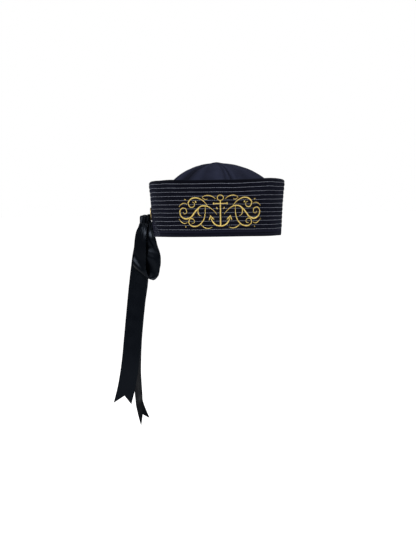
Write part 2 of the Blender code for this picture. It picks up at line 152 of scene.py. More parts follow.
# The lace's route through both eyelets; radius, height and half its own height in millimetres
LaceStop = namedtuple("LaceStop", "azimuth radius height half")
LACE_INSIDE = 93.5
LACE_STOPS = (
    LaceStop(-96.0, 103.4, 28.4, 3.8),
    LaceStop(-99.0, 102.5, 28.8, 4.6),
    LaceStop(-104.0, 102.0, 29.6, 5.0),
    LaceStop(-110.0, 101.8, 30.8, 5.0),
    LaceStop(-118.0, 101.8, 32.8, 4.2),
    LaceStop(-123.6, 101.7, 34.0, 3.4),
    LaceStop(-124.6, 101.3, 34.0, 3.4),
    LaceStop(-125.0, 100.4, 34.0, 3.4),
    LaceStop(-125.0, 97.2, 34.0, 3.4),
    LaceStop(-125.0, 94.6, 34.0, 3.4),
    LaceStop(-124.7, 93.8, 34.0, 3.4),
    LaceStop(-124.0, LACE_INSIDE, 34.0, 3.4),
    LaceStop(-121.0, LACE_INSIDE, 34.0, 3.8),
    LaceStop(-117.0, LACE_INSIDE, 34.0, 4.2),
    LaceStop(-113.0, LACE_INSIDE, 34.0, 4.4),
    LaceStop(-108.5, LACE_INSIDE, 34.0, 4.5),
    LaceStop(-104.0, LACE_INSIDE, 34.0, 4.4),
    LaceStop(-100.0, LACE_INSIDE, 34.0, 4.2),
    LaceStop(-96.0, LACE_INSIDE, 34.0, 3.8),
    LaceStop(-93.0, LACE_INSIDE, 34.0, 3.4),
    LaceStop(-92.3, 93.8, 34.0, 3.4),
    LaceStop(-92.0, 94.6, 34.0, 3.4),
    LaceStop(-92.0, 97.2, 34.0, 3.4),
    LaceStop(-92.0, 100.6, 34.0, 3.4),
)


# ------------------------------------------------------------------ meshes


def stacked(*layers):
    """Values of like shapes, side by side in one array."""
    return np.stack(np.broadcast_arrays(*layers), axis=-1)


def around(azimuth, radius, z):
    """Points at azimuths in degrees round the head."""
    turn = np.radians(azimuth)
    return stacked(radius * np.sin(turn), -radius * np.cos(turn), z)


def turned_from(azimuth, middle):
    """How far an azimuth lies from a middle one, from -180 to 180 degrees."""
    return (azimuth - middle + 180) % 360 - 180


def bell(value, breadth):
    """1 where the value is 0, and falling smoothly to nothing on both sides of it."""
    return np.exp(-((value / breadth) ** 2))


def between(value, low, high):
    """0 below low, 1 above high and smooth in between."""
    t = np.clip((value - low) / (high - low), 0, 1)
    return t * t * (3 - 2 * t)


def ripples(seed, count, shortest, longest):
    """A fixed random field over two lengths, about -1 to 1, made of waves of those lengths."""
    draw = np.random.default_rng(seed)
    turn = draw.uniform(0, 2 * math.pi, count)
    waves = 2 * math.pi / draw.uniform(shortest, longest, count)
    phase = draw.uniform(0, 2 * math.pi, count)

    def field(u, v):
        u, v = np.broadcast_arrays(u, v)
        angle = u[..., None] * np.cos(turn) * waves + v[..., None] * np.sin(turn) * waves
        return np.cos(angle + phase).sum(-1) / math.sqrt(2 * count)

    return field


def run_along(points, power=1):
    """How far along a line each of its points lies, counting its steps raised to a power."""
    steps = np.linalg.norm(np.diff(points, axis=0), axis=1)
    return np.concatenate(((0,), np.cumsum(steps**power)))


def eased(t, span, start, start_slope, end, end_slope):
    """Values on a smooth curve with those ends and slopes, t of the way along its span."""
    return (
        (2 * t**3 - 3 * t**2 + 1) * start
        + (t**3 - 2 * t**2 + t) * start_slope * span
        + (3 * t**2 - 2 * t**3) * end
        + (t**3 - t**2) * end_slope * span
    )


def quads_of(numbers, closed=False):
    """Quads over a grid of point numbers; if closed, its last column meets its first."""
    if closed:
        numbers = np.concatenate((numbers, numbers[:, :1]), axis=1)
    corners = (numbers[:-1, :-1], numbers[:-1, 1:], numbers[1:, 1:], numbers[1:, :-1])
    return np.stack(corners, axis=-1).reshape(-1, 4)


def lattice(rows, columns, closed=False):
    """Quads over rows times columns points that are numbered row by row."""
    return quads_of(np.arange(rows * columns).reshape(rows, columns), closed)


def hoop(first, second):
    """Quads between two closed rows of point numbers."""
    return quads_of(np.array((first, second)), closed=True)


def fan(ring, tip):
    """Triangles between a closed row of point numbers and one more point."""
    return zip(ring, np.roll(ring, -1), [tip] * len(ring))


def in_scene(name, data):
    """A new object in the scene."""
    made = bpy.data.objects.new(name, data)
    bpy.context.scene.collection.objects.link(made)
    return made


def made_piece(name, points, faces, surface, uv=None, around_uv=None):
    """A closed, smooth mesh of those points and faces, with its faces turned outwards.

    around_uv is the length at which u starts again, for a piece that closes round the head."""
    mesh = bpy.data.meshes.new(name)
    mesh.from_pydata(np.asarray(points).tolist(), [], [list(map(int, face)) for face in faces])
    if uv is not None:
        layer = mesh.uv_layers.new(name="cloth")
        corners = np.zeros(len(mesh.loops), int)
        mesh.loops.foreach_get("vertex_index", corners)
        values = np.asarray(uv, float)[corners]
        if around_uv:
            for face in mesh.polygons:
                span = slice(face.loop_start, face.loop_start + face.loop_total)
                if np.ptp(values[span, 0]) > around_uv / 2:
                    values[span, 0] += np.where(values[span, 0] < around_uv / 2, around_uv, 0)
        layer.data.foreach_set("uv", values.ravel())
    work = bmesh.new()
    work.from_mesh(mesh)
    bmesh.ops.recalc_face_normals(work, faces=work.faces)
    work.to_mesh(mesh)
    work.free()
    mesh.materials.append(surface)
    mesh.shade_smooth()
    return in_scene(name, mesh)


def settled(piece):
    """The piece with its modifiers made part of a plain mesh."""
    bpy.context.view_layer.update()
    shape = piece.evaluated_get(bpy.context.evaluated_depsgraph_get())
    mesh = bpy.data.meshes.new_from_object(shape)
    mesh.name = piece.name
    piece.modifiers.clear()
    piece.data = mesh
    mesh.shade_smooth()
    return piece


def dressed(piece, slot, *nodes):
    """The piece rides with the cap and stands for those solids; its slot is not used."""
    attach(piece, "root")
    if nodes:
        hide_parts(*nodes)
    return piece


# ------------------------------------------------------------------ materials


def put(tree, kind, place, **settings):
    """A new node with its settings; place is its column and row on the sheet."""
    node = tree.nodes.new(kind)
    node.location = (place[0] * 190, -place[1] * 170)
    for name, value in settings.items():
        setattr(node, name, value)
    return node


def fed(tree, socket, value):
    """Feeds a socket from another one or gives it a plain value, such as a number or a colour."""
    if isinstance(value, bpy.types.NodeSocket):
        tree.links.new(value, socket)
    else:
        socket.default_value = (*value, 1) if socket.type == "RGBA" else value


def wired(tree, kind, place, inputs, **settings):
    """The outputs of a new node whose inputs are fed, each by its name or number."""
    node = put(tree, kind, place, **settings)
    for label, value in inputs.items():
        fed(tree, node.inputs[label], value)
    return node.outputs


def sums(tree, operation, place, *values):
    """A Math node's result; each value is a socket or a number."""
    return wired(tree, "ShaderNodeMath", place, dict(enumerate(values)), operation=operation)[0]


def ranged(tree, place, value, low, high, to_low=0, to_high=1, kind="LINEAR"):
    """How far a value is on its way from low to high, as a number between two others."""
    inputs = {"Value": value, "From Min": low, "From Max": high, "To Min": to_low, "To Max": to_high}
    return wired(tree, "ShaderNodeMapRange", place, inputs, interpolation_type=kind)[0]


def mixed(tree, place, first, second, share):
    """A colour between two, by a share that changes over the surface."""
    inputs = {"A": first, "B": second, "Factor": share}
    return wired(tree, "ShaderNodeMix", place, inputs, data_type="RGBA")["Result"]


def noise(tree, place, where, scale, detail=2):
    """A soft noise on some coordinates in metres."""
    inputs = {"Vector": where, "Scale": scale, "Detail": detail}
    return wired(tree, "ShaderNodeTexNoise", place, inputs)[0]


def sine_along(tree, row, length, pitch, turns=1.0):
    """A sine wave along a length, with so many turns to each pitch."""
    count = sums(tree, "DIVIDE", (3, row), length, pitch)
    return sums(tree, "SINE", (5, row), sums(tree, "MULTIPLY", (4, row), count, turns * 2 * math.pi))


def parts_of(tree, vector):
    """A vector's X, Y and Z."""
    return wired(tree, "ShaderNodeSeparateXYZ", (0, 0), {0: vector})


def group_of(name, where, numbers, results):
    """A shader node group with its inputs, coordinates first and then numbers, and its results."""
    tree = bpy.data.node_groups.new(name, "ShaderNodeTree")
    tree.interface.new_socket(where, in_out="INPUT", socket_type="NodeSocketVector")
    for label, value in numbers.items():
        socket = tree.interface.new_socket(label, in_out="INPUT", socket_type="NodeSocketFloat")
        socket.default_value = value
    for label in results:
        tree.interface.new_socket(label, in_out="OUTPUT", socket_type="NodeSocketFloat")
    given, result = put(tree, "NodeGroupInput", (-1, 0)), put(tree, "NodeGroupOutput", (9, 0))
    return tree, given.outputs, result.inputs


def used(tree, group, place, where, numbers=None):
    """A node group's results on some coordinates, with this material's own numbers."""
    return wired(tree, "ShaderNodeGroup", place, {0: where, **(numbers or {})}, node_tree=group)


def twill_weave():
    """Diagonal wales of twill, crossed by single yarns, on a cloth's own coordinates in metres."""
    tree, given, result = group_of(
        "Twill weave", "Cloth", {"Wale pitch": 0.0006}, ("Height", "Fleck")
    )
    x, y, _ = parts_of(tree, given["Cloth"])
    diagonal = sums(tree, "ADD", (2, 0), x, sums(tree, "MULTIPLY", (1, 0), y, 0.62))
    ridge = sine_along(tree, 0, diagonal, given["Wale pitch"])
    crossing = sine_along(tree, 1, y, given["Wale pitch"], 2)
    crossed = sums(tree, "MULTIPLY_ADD", (6, 1), crossing, 0.35, ridge)
    fed(tree, result["Height"], sums(tree, "MULTIPLY_ADD", (7, 0), crossed, 0.37, 0.5))
    fed(tree, result["Fleck"], noise(tree, (3, 3), given["Cloth"], 900, 3))
    return tree


def cloth_wear():
    """Soft patches of fading and stray lint on a piece, by its Object coordinates."""
    tree, given, result = group_of(
        "Cloth wear", "Place", {"Patch size": 0.03, "Lint": 0.5}, ("Fading", "Lint")
    )
    scale = sums(tree, "DIVIDE", (0, 1), 1.0, given["Patch size"])
    fed(tree, result["Fading"], noise(tree, (1, 0), given["Place"], scale, 4))
    specks = {"Vector": given["Place"], "Scale": 260}
    apart = wired(tree, "ShaderNodeTexVoronoi", (1, 2), specks, feature="F1")["Distance"]
    near = sums(tree, "LESS_THAN", (2, 2), apart, 0.09)
    fed(tree, result["Lint"], sums(tree, "MULTIPLY", (3, 2), near, given["Lint"]))
    return tree


def quilted_zones():
    """Where on its own coordinates the brim's cloth takes painted shade, sunk at a row and folded over
    at the top edge and the foot, and painted light, where it lies plain below the last row and beside
    the rows' legs at the brim's ends."""
    sizes = {
        "Length": BRIM_LENGTH,
        "First row": FIRST_ROW,
        "Row spacing": ROW_SPACING,
        "Last row": LAST_ROW,
        "Slant": BRIM_SLANT,
    }
    tree, given, result = group_of("Quilted zones", "Cloth", sizes, ("Row shade", "Edge shade", "Plain light", "End light"))
    x, y, _ = parts_of(tree, given["Cloth"])
    down = sums(tree, "MULTIPLY", (1, 1), y, -1.0)
    far_end = sums(tree, "SUBTRACT", (1, 0), given["Length"], x)
    nearer_end = sums(tree, "MINIMUM", (2, 0), x, far_end)
    offset = sums(tree, "MINIMUM", (3, 0), nearer_end, down)
    past_first = sums(tree, "SUBTRACT", (4, 0), offset, given["First row"])
    ribs = sums(tree, "DIVIDE", (5, 0), past_first, given["Row spacing"])
    share = sums(tree, "FRACT", (6, 0), ribs)
    from_middle = sums(tree, "ABSOLUTE", (7, 0), sums(tree, "SUBTRACT", (6, 1), share, 0.5))
    past_last = sums(tree, "SUBTRACT", (5, 2), offset, given["Last row"])
    into_hem = sums(tree, "DIVIDE", (5, 3), offset, given["First row"])
    above_foot = sums(tree, "SUBTRACT", (5, 5), given["Slant"], down)
    below_leg = sums(tree, "SUBTRACT", (5, 6), down, nearer_end)
    sunk, plain, folded, foot, leg = (
        ranged(tree, place, value, low, high, kind="SMOOTHSTEP")
        for place, value, low, high in (
            ((8, 0), from_middle, 0.22, 0.48),
            ((8, 2), past_last, 0, 2.5 * MM),
            ((8, 3), into_hem, 0.95, 0.6),
            ((7, 5), above_foot, 3.2 * MM, 1.0 * MM),
            ((8, 6), below_leg, 0, 4 * MM),
        )
    )
    edges = sums(tree, "MAXIMUM", (8, 4), folded, foot)
    for label, mask in (("Row shade", sunk), ("Edge shade", edges), ("Plain light", plain), ("End light", leg)):
        fed(tree, result[label], mask)
    return tree


def satin_floats():
    """Fine lengthwise floats of satin with its denser selvedges, on the ribbon's coordinates."""
    tree, given, result = group_of(
        "Satin floats",
        "Ribbon",
        {"Float pitch": 0.00022, "Half width": RIBBON_WIDTH * MM / 2, "Selvedge": 0.0014},
        ("Height", "Selvedge", "Streak"),
    )
    x, y, _ = parts_of(tree, given["Ribbon"])
    fine = sine_along(tree, 0, x, given["Float pitch"])
    from_middle = sums(tree, "ABSOLUTE", (1, 1), x)
    from_edge = sums(tree, "SUBTRACT", (2, 1), given["Half width"], from_middle)
    edge = sums(tree, "LESS_THAN", (3, 1), from_edge, given["Selvedge"])
    ribbed = sums(tree, "MULTIPLY", (6, 2), sine_along(tree, 2, y, given["Float pitch"], 0.5), edge)
    both = sums(tree, "MULTIPLY_ADD", (7, 1), ribbed, 1.6, fine)
    fed(tree, result["Height"], sums(tree, "MULTIPLY_ADD", (8, 1), both, 0.25, 0.5))
    fed(tree, result["Selvedge"], edge)
    stretch = {"Vector": given["Ribbon"], "Scale": (900, 35, 1)}
    stretched = wired(tree, "ShaderNodeMapping", (2, 3), stretch)[0]
    fed(tree, result["Streak"], noise(tree, (3, 3), stretched, 1))
    return tree


def spun_thread():
    """The twist of a spun thread, and how it varies from stitch to stitch."""
    tree, given, result = group_of("Spun thread", "Place", {"Ply": 0.0003}, ("Height", "Shade"))
    x, y, z = parts_of(tree, given["Place"])
    along = sums(tree, "ADD", (2, 0), sums(tree, "ADD", (1, 0), x, z), y)
    twist = sine_along(tree, 0, along, given["Ply"])
    fed(tree, result["Height"], sums(tree, "MULTIPLY_ADD", (6, 0), twist, 0.5, 0.5))
    fed(tree, result["Shade"], noise(tree, (3, 2), given["Place"], 420))
    return tree


def new_material(name, settings):
    """A material with plain settings on its shader's own sockets."""
    material = bpy.data.materials.new(name)
    material.use_nodes = True
    tree = material.node_tree
    shader = tree.nodes["Principled BSDF"]
    shader.location = (1900, 0)
    tree.nodes["Material Output"].location = (2250, 0)
    for label, value in settings.items():
        fed(tree, shader.inputs[label], value)
    return material, tree, shader


def finished(tree, shader, looks, height, distance, strength):
    """Feeds the shader the looks that change over the surface, and its relief in metres."""
    for label, value in looks.items():
        fed(tree, shader.inputs[label], value)
    relief = {"Height": height, "Distance": distance, "Strength": strength}
    fed(tree, shader.inputs["Normal"], wired(tree, "ShaderNodeBump", (8, 3), relief)["Normal"])


def tinted(colour, tint):
    """A colour's channels multiplied by one number, or by three."""
    return tuple(float(channel) for channel in np.multiply(colour, tint))


PLAIN_TINT = (1.5, 1.3, 1.3)  # painted light: the plain foot and the ends of the brim are painted lighter, towards purple
LEG_TINT = (1.9, 1.6, 1.45)
LINT_COLOUR = (0.06, 0.06, 0.075)
BRIGHT_BRASS = (0.90, 0.73, 0.36)
DULL_BRASS = (0.66, 0.48, 0.20)


def twill_material(name, dark, light, faded, sheen, zones=None):
    """Matt cotton twill: dark between its wales, a little faded in patches, with some lint.

    With zones, it takes painted shade at the quilting's rows and folds, and painted light where it lies
    plain.
    Without them it takes painted shade in its folds and seams and painted light on its ridges, by the
    piece's own attribute."""
    settings = {
        "Roughness": 0.9,
        "Sheen Weight": sheen,
        "Sheen Roughness": 0.5,
        "Sheen Tint": (0.55, 0.62, 1.0),
        "Specular IOR Level": 0.04,
    }
    material, tree, shader = new_material(name, settings)
    cloth = put(tree, "ShaderNodeUVMap", (0, 0), uv_map="cloth").outputs[0]
    place = put(tree, "ShaderNodeTexCoord", (0, 2)).outputs["Object"]
    woven = used(tree, weave, (1, 0), cloth, {"Wale pitch": 0.00062})
    worn_and_painted_shade = used(tree, wear_and_painted_shade, (1, 2), place, {"Patch size": 0.028, "Lint": 0.30})
    wales = mixed(tree, (3, 0), dark, light, woven["Height"])
    shaded = mixed(tree, (4, 0), wales, faded, ranged(tree, (3, 2), worn_and_painted_shade["Fading"], 0.42, 0.72, 0, 0.7))
    if zones:
        zone = used(tree, zones, (1, 4), cloth)
        # Painted shade at the rows and the folded edges, painted light on the plain foot and beside the
        # rows' legs
        layers = [
            (colour, sums(tree, "MULTIPLY", (4, 4 + row), zone[mask], most))
            for row, (mask, colour, most) in enumerate(
                (
                    ("Plain light", tinted(faded, PLAIN_TINT), 0.85),
                    ("Row shade", tinted(dark, 0.3), 0.85),
                    ("Edge shade", tinted(dark, 0.55), 0.75),
                    ("End light", tinted(faded, LEG_TINT), 0.55),
                )
            )
        ]
    else:
        # painted shade in the dome's folds and seams, painted light on its ridges, from the piece's
        # attribute
        painted_shade_in = put(tree, "ShaderNodeAttribute", (1, 4), attribute_name="worn_and_painted_shade").outputs["Fac"]
        layers = [
            (tinted(dark, 0.25), ranged(tree, (2, 4), painted_shade_in, 0, -1, 0, 0.75)),
            (tinted(faded, 1.25), ranged(tree, (2, 5), painted_shade_in, 0, 1, 0, 0.75)),
        ]
    for row, (colour, share) in enumerate(layers):
        shaded = mixed(tree, (5, 4 + row), shaded, colour, share)
    looks = {
        "Base Color": mixed(tree, (6, 0), shaded, LINT_COLOUR, worn_and_painted_shade["Lint"]),
        "Roughness": ranged(tree, (4, 3), woven["Fleck"], 0, 1, 0.82, 0.97),
    }
    height = sums(tree, "MULTIPLY_ADD", (6, 3), woven["Fleck"], 0.6, woven["Height"])
    finished(tree, shader, looks, height, 0.00010, 0.7)
    return material


def satin_material(name, colour, lighter):
    """Black satin: long soft highlights broken by fine streaks, and a tight dark selvedge."""
    settings = {
        "Roughness": 0.25,
        "Specular IOR Level": 0.15,
        "Specular Tint": (0.68, 0.80, 1.0),
        "Anisotropic": 0.3,
    }
    material, tree, shader = new_material(name, settings)
    ribbon = put(tree, "ShaderNodeUVMap", (0, 0), uv_map="cloth").outputs[0]
    woven = used(tree, floats, (1, 0), ribbon)
    rough = ranged(tree, (3, 2), woven["Streak"], 0, 1, 0.30, 0.36)
    looks = {
        "Base Color": mixed(tree, (4, 0), colour, lighter, woven["Streak"]),
        "Roughness": sums(tree, "MULTIPLY_ADD", (5, 2), woven["Selvedge"], -0.08, rough),
    }
    finished(tree, shader, looks, woven["Height"], 0.00003, 0.5)
    return material


def thread_material(name, dark, light, roughness, sheen, specular, ply):
    """Thread: its twist in relief, and its shade uneven from stitch to stitch."""
    settings = {"Roughness": roughness, "Sheen Weight": sheen, "Specular IOR Level": specular}
    material, tree, shader = new_material(name, settings)
    place = put(tree, "ShaderNodeTexCoord", (0, 0)).outputs["Object"]
    twisted = used(tree, spun, (1, 0), place, {"Ply": ply})
    share = sums(tree, "MULTIPLY_ADD", (3, 1), twisted["Height"], 0.35, -0.05)
    share = sums(tree, "ADD", (4, 1), share, twisted["Shade"])
    looks = {"Base Color": mixed(tree, (5, 0), dark, light, share)}
    finished(tree, shader, looks, twisted["Height"], 0.00004, 0.6)
    return material


def brass_material(name):
    """Rolled brass: fine turning marks, duller in patches where it is handled."""
    material, tree, shader = new_material(name, {"Roughness": 0.28, "Metallic": 1.0})
    place = put(tree, "ShaderNodeTexCoord", (0, 0)).outputs["Object"]
    dull = noise(tree, (1, 0), place, 160, 5)
    looks = {
        "Base Color": mixed(tree, (3, 0), BRIGHT_BRASS, DULL_BRASS, dull),
        "Roughness": ranged(tree, (3, 2), dull, 0, 1, 0.32, 0.5),
    }
    finished(tree, shader, looks, noise(tree, (1, 3), place, 1400), 0.00002, 0.5)
    return material


weave, wear_and_painted_shade, zones = twill_weave(), cloth_wear(), quilted_zones()
floats, spun = satin_floats(), spun_thread()

# Each cloth's colours: between its wales, on them and where it has faded
CROWN_DYE = ((0.0078, 0.0090, 0.0182), (0.0130, 0.0149, 0.0286), (0.0165, 0.0190, 0.0354))
# The brim's cloth is the crown's own, painted much darker as painted shade on its quilted wall
BRIM_DYE_AND_SHADE = ((0.0013, 0.0015, 0.0040), (0.0023, 0.0027, 0.0067), (0.0050, 0.0057, 0.0125))
SATIN_DYE = ((0.0009, 0.0013, 0.0023), (0.0018, 0.0026, 0.0045))
crown_twill = twill_material("crown_twill", *CROWN_DYE, 0.028)
brim_twill = twill_material("brim_twill", *BRIM_DYE_AND_SHADE, 0.045, zones)
ribbon_satin = satin_material("ribbon_satin", *SATIN_DYE)

# Each thread's dark and light colour, roughness, sheen, specular level and ply in metres
THREADS = {
    "row_thread": ((0.14, 0.155, 0.205), (0.285, 0.305, 0.375), 0.75, 0.2, 0.15, 0.0003),
    "seam_thread": ((0.008, 0.009, 0.018), (0.018, 0.021, 0.038), 0.7, 0.0, 0.1, 0.0003),
    "gold_thread": ((0.66, 0.47, 0.10), (0.98, 0.80, 0.26), 0.38, 0.0, 0.5, 0.0005),
    "gold_padding": ((0.16, 0.09, 0.015), (0.30, 0.18, 0.03), 0.6, 0.0, 0.2, 0.0005),
}
row_thread, seam_thread, gold_thread, gold_padding = (
    thread_material(name, *look) for name, look in THREADS.items()
)
eyelet_brass = brass_material("eyelet_brass")


# ------------------------------------------------------------------ stitches


def thread_tree():
    """Lays threads side by side or end to end along lines on a cloth.

    Each point of a line carries outward, away from the cloth, and the span and girth of the
    thread there. A thread is an arch of one span, tapered into the cloth at both its ends."""
    tree = bpy.data.node_groups.new("Threads along a line", "GeometryNodeTree")
    tree.is_modifier = True
    face = tree.interface
    face.new_socket("Geometry", in_out="INPUT", socket_type="NodeSocketGeometry")
    lengths = {"Pitch": 3 * MM, "Thread radius": 0.2 * MM, "Arch": 0.3 * MM, "Sink": 0.1 * MM}
    for kind, numbers in (
        ("NodeSocketFloat", {**lengths, "Turn": 0.0, "Unevenness": 0.05}),
        ("NodeSocketInt", {"Sides": 5, "Bends": 5, "Seed": 1}),
    ):
        for label, value in numbers.items():
            face.new_socket(label, in_out="INPUT", socket_type=kind).default_value = value
    face.new_socket("Thread", in_out="INPUT", socket_type="NodeSocketMaterial")
    face.new_socket("Geometry", in_out="OUTPUT", socket_type="NodeSocketGeometry")
    given = put(tree, "NodeGroupInput", (-2, 0)).outputs
    result = put(tree, "NodeGroupOutput", (10, 0)).inputs

    def made(kind, place, inputs, **settings):
        return wired(tree, kind, place, inputs, **settings)

    lines = made("GeometryNodeMeshToCurve", (0, 0), {0: given["Geometry"]})[0]
    spaced = {"Curve": lines, "Length": given["Pitch"]}
    places = made("GeometryNodeCurveToPoints", (1, 0), spaced, mode="LENGTH")
    outward, span, girth = (
        made("GeometryNodeInputNamedAttribute", place, {"Name": name}, data_type=kind)[0]
        for name, kind, place in (
            ("outward", "FLOAT_VECTOR", (1, 2)),
            ("span", "FLOAT", (1, 3)),
            ("girth", "FLOAT", (5, 5)),
        )
    )
    align = "FunctionNodeAlignRotationToVector"
    along = made(align, (2, 1), {"Vector": places["Tangent"]}, axis="X")[0]
    facing = {"Rotation": along, "Vector": outward}
    upright = made(align, (3, 1), facing, axis="Z", pivot_axis="X")[0]
    limits = {2: -1, 3: 1, "Seed": given["Seed"]}
    chance = made("FunctionNodeRandomValue", (2, 4), limits, data_type="FLOAT")[1]
    uneven = sums(tree, "MULTIPLY", (3, 4), chance, given["Unevenness"])
    turn = sums(tree, "ADD", (4, 3), given["Turn"], uneven)
    spin = made("FunctionNodeAxisAngleToRotation", (5, 3), {"Axis": (0, 0, 1), "Angle": turn})[0]
    both = {0: upright, 1: spin}
    turned = made("FunctionNodeRotateRotation", (6, 2), both, rotation_space="LOCAL")[0]
    longer = sums(tree, "MULTIPLY_ADD", (4, 4), uneven, span, span)
    size = made("ShaderNodeCombineXYZ", (6, 4), {"X": longer, "Y": girth, "Z": girth})[0]

    below = sums(tree, "MULTIPLY", (0, 6), given["Sink"], -1)
    top = sums(tree, "MULTIPLY", (0, 7), given["Arch"], 2)
    bends = {"Resolution": given["Bends"]}
    for row, (label, x, height) in enumerate(
        (("Start", -0.5, below), ("Middle", 0.0, top), ("End", 0.5, below))
    ):
        bends[label] = made("ShaderNodeCombineXYZ", (1, 6 + row), {"X": x, "Z": height})[0]
    arch = made("GeometryNodeCurveQuadraticBezier", (2, 6), bends)[0]
    round_it = {"Resolution": given["Sides"], "Radius": given["Thread radius"]}
    ring = made("GeometryNodeCurvePrimitiveCircle", (2, 8), round_it)[0]
    share = put(tree, "GeometryNodeSplineParameter", (1, 9)).outputs["Factor"]
    taper = put(tree, "ShaderNodeFloatCurve", (2, 9))
    shape = taper.mapping.curves[0].points
    shape[0].location = (0, 0.45)
    shape[1].location = (1, 0.45)
    for x in (0.2, 0.8):
        shape.new(x, 0.95)
    taper.mapping.update()
    fed(tree, taper.inputs["Value"], share)
    thinning = {"Curve": arch, "Radius": taper.outputs[0]}
    tapered = made("GeometryNodeSetCurveRadius", (3, 7), thinning)[0]
    thread = put(tree, "GeometryNodeCurveToMesh", (4, 7))
    swept = {"Curve": tapered, "Profile Curve": ring, "Fill Caps": True}
    if "Scale" in thread.inputs:
        swept["Scale"] = put(tree, "GeometryNodeInputRadius", (3, 8)).outputs[0]
    for label, value in swept.items():
        fed(tree, thread.inputs[label], value)

    laying = {
        "Points": places["Points"],
        "Instance": thread.outputs[0],
        "Rotation": turned,
        "Scale": size,
    }
    laid = made("GeometryNodeInstanceOnPoints", (7, 0), laying)[0]
    real = made("GeometryNodeRealizeInstances", (8, 0), {0: laid})[0]
    colouring = {"Geometry": real, "Material": given["Thread"]}
    fed(tree, result["Geometry"], made("GeometryNodeSetMaterial", (9, 0), colouring)[0])
    return tree


def sewn(name, lines, surface, **sizes):
    """Threads along lines, each a tuple of its points, outward directions, spans and girths."""
    points, edges, outward, spans, girths = [], [], [], [], []
    for places, away, span, girth in lines:
        first = len(points)
        points.extend(places.tolist())
        outward.extend(away.tolist())
        spans.extend(np.broadcast_to(span, len(places)).tolist())
        girths.extend(np.broadcast_to(girth, len(places)).tolist())
        edges.extend((i, i + 1) for i in range(first, len(points) - 1))
    mesh = bpy.data.meshes.new(name)
    mesh.from_pydata(points, edges, [])
    for label, kind, field, values in (
        ("outward", "FLOAT_VECTOR", "vector", np.ravel(outward)),
        ("span", "FLOAT", "value", spans),
        ("girth", "FLOAT", "value", girths),
    ):
        mesh.attributes.new(label, kind, "POINT").data.foreach_set(field, values)
    piece = in_scene(name, mesh)
    sewing = piece.modifiers.new("threads", "NODES")
    sewing.node_group = threads
    sockets = {
        item.name: item.identifier
        for item in threads.interface.items_tree
        if item.in_out == "INPUT"
    }
    sewing[sockets["Thread"]] = surface
    for label, value in sizes.items():
        sewing[sockets[label.replace("_", " ")]] = value
    return settled(piece)


threads = thread_tree()


# ------------------------------------------------------------------ crown

CROWN_ROWS_OUTSIDE = 96
CROWN_ROWS_INSIDE = 44
GORE_SHARES = (  # columns of points from a seam to the middle of its gore, closest at the seam
    *(0, 0.006, 0.012, 0.02, 0.03, 0.04, 0.055, 0.075),
    *(0.1, 0.13, 0.17, 0.22, 0.28, 0.34, 0.4, 0.45),
)
DOME_ARC = 134  # millimetres of cloth from the band's top to the apex
SEAM_GROOVE = 0.9 * MM
SEAM_VALLEY = 0.8 * MM  # how far the cloth on both sides of a seam sinks towards it
SEAM_LIP = 0.35 * MM  # how far the turned-in edges beside a seam raise the cloth
TOPSTITCH_FROM_SEAM = 2.6 * MM
GATHERS = 30  # small pleats drawn in at the apex
GATHER_DEPTH = 0.35 * MM
STITCH_DIP = 0.22 * MM  # how far the topstitching draws the cloth in
CROWN_GIVE = 0.7 * MM  # how far the dome's soft cloth leaves its true shape
FINE_GIVE = 0.10 * MM  # the same in its smaller ripples
CROWN_LEAN = 5.0 * MM  # how far the dome's shoulder leans towards +X
SHOULDER_SAG = 1.4 * MM  # how far the cloth sags between the apex and the shoulder
FULLY_PAINTED = 1.6  # depth of fold, in millimetres, at which its cloth takes full painted shade in a fold, full painted light on a ridge

# A soft fold runs down the dome: its azimuth and breadth in degrees, its depth in millimetres
DomeFold = namedtuple("DomeFold", "azimuth breadth depth")
DOME_FOLDS = (
    DomeFold(-50, 11.0, -1.6),
    DomeFold(-63, 6.0, 1.8),
    DomeFold(-30, 5.0, 0.8),
    DomeFold(-19, 4.0, -0.35),
    DomeFold(-2, 7.0, 0.8),
    DomeFold(7, 2.2, -1.0),
    DomeFold(10.5, 1.6, 1.0),
    DomeFold(18.5, 2.2, 1.0),
    DomeFold(34, 6.0, -0.8),
    DomeFold(55, 6.0, -0.5),
    DomeFold(118, 8.0, -1.6),
    DomeFold(187, 7.0, -1.4),
    DomeFold(-108, 9.0, -1.5),
)

crown_give = ripples(11, 9, 38 * MM, 90 * MM)
crown_fine = ripples(12, 14, 9 * MM, 22 * MM)
column_shares = np.array((*GORE_SHARES, 0.5, *(1 - s for s in GORE_SHARES[:0:-1])))
crown_azimuths = FIRST_SEAM + (np.arange(GORES)[:, None] + column_shares).ravel() * 360 / GORES


def dome_angle(climb):
    """How far up the dome's quarter turn a place is, in radians."""
    return np.clip(climb - 1, 0, 1) * math.pi / 2


def dome_slope(climb):
    """How far the way out of the crown points up, in radians."""
    up = dome_angle(climb)
    return np.where(climb < 1, 0, np.arctan2(np.sin(up) * CROWN_RADIUS, np.cos(up) * DOME_HEIGHT))


def from_nearest_seam(azimuth, radius):
    """How far a place on the crown is from the nearest seam, along the cloth."""
    share = ((azimuth - FIRST_SEAM) / 360 * GORES) % 1
    return np.minimum(share, 1 - share) * 2 * math.pi / GORES * radius


def dome_folds(azimuth, climb, radius):
    """Each fold of the dome with how near its line a place lies, from 0 to 1."""
    reach = between(radius, 12 * MM, 42 * MM) * between(climb, 1.0, 1.3)
    for fold in DOME_FOLDS:
        yield fold, bell(turned_from(azimuth, fold.azimuth), fold.breadth) * reach


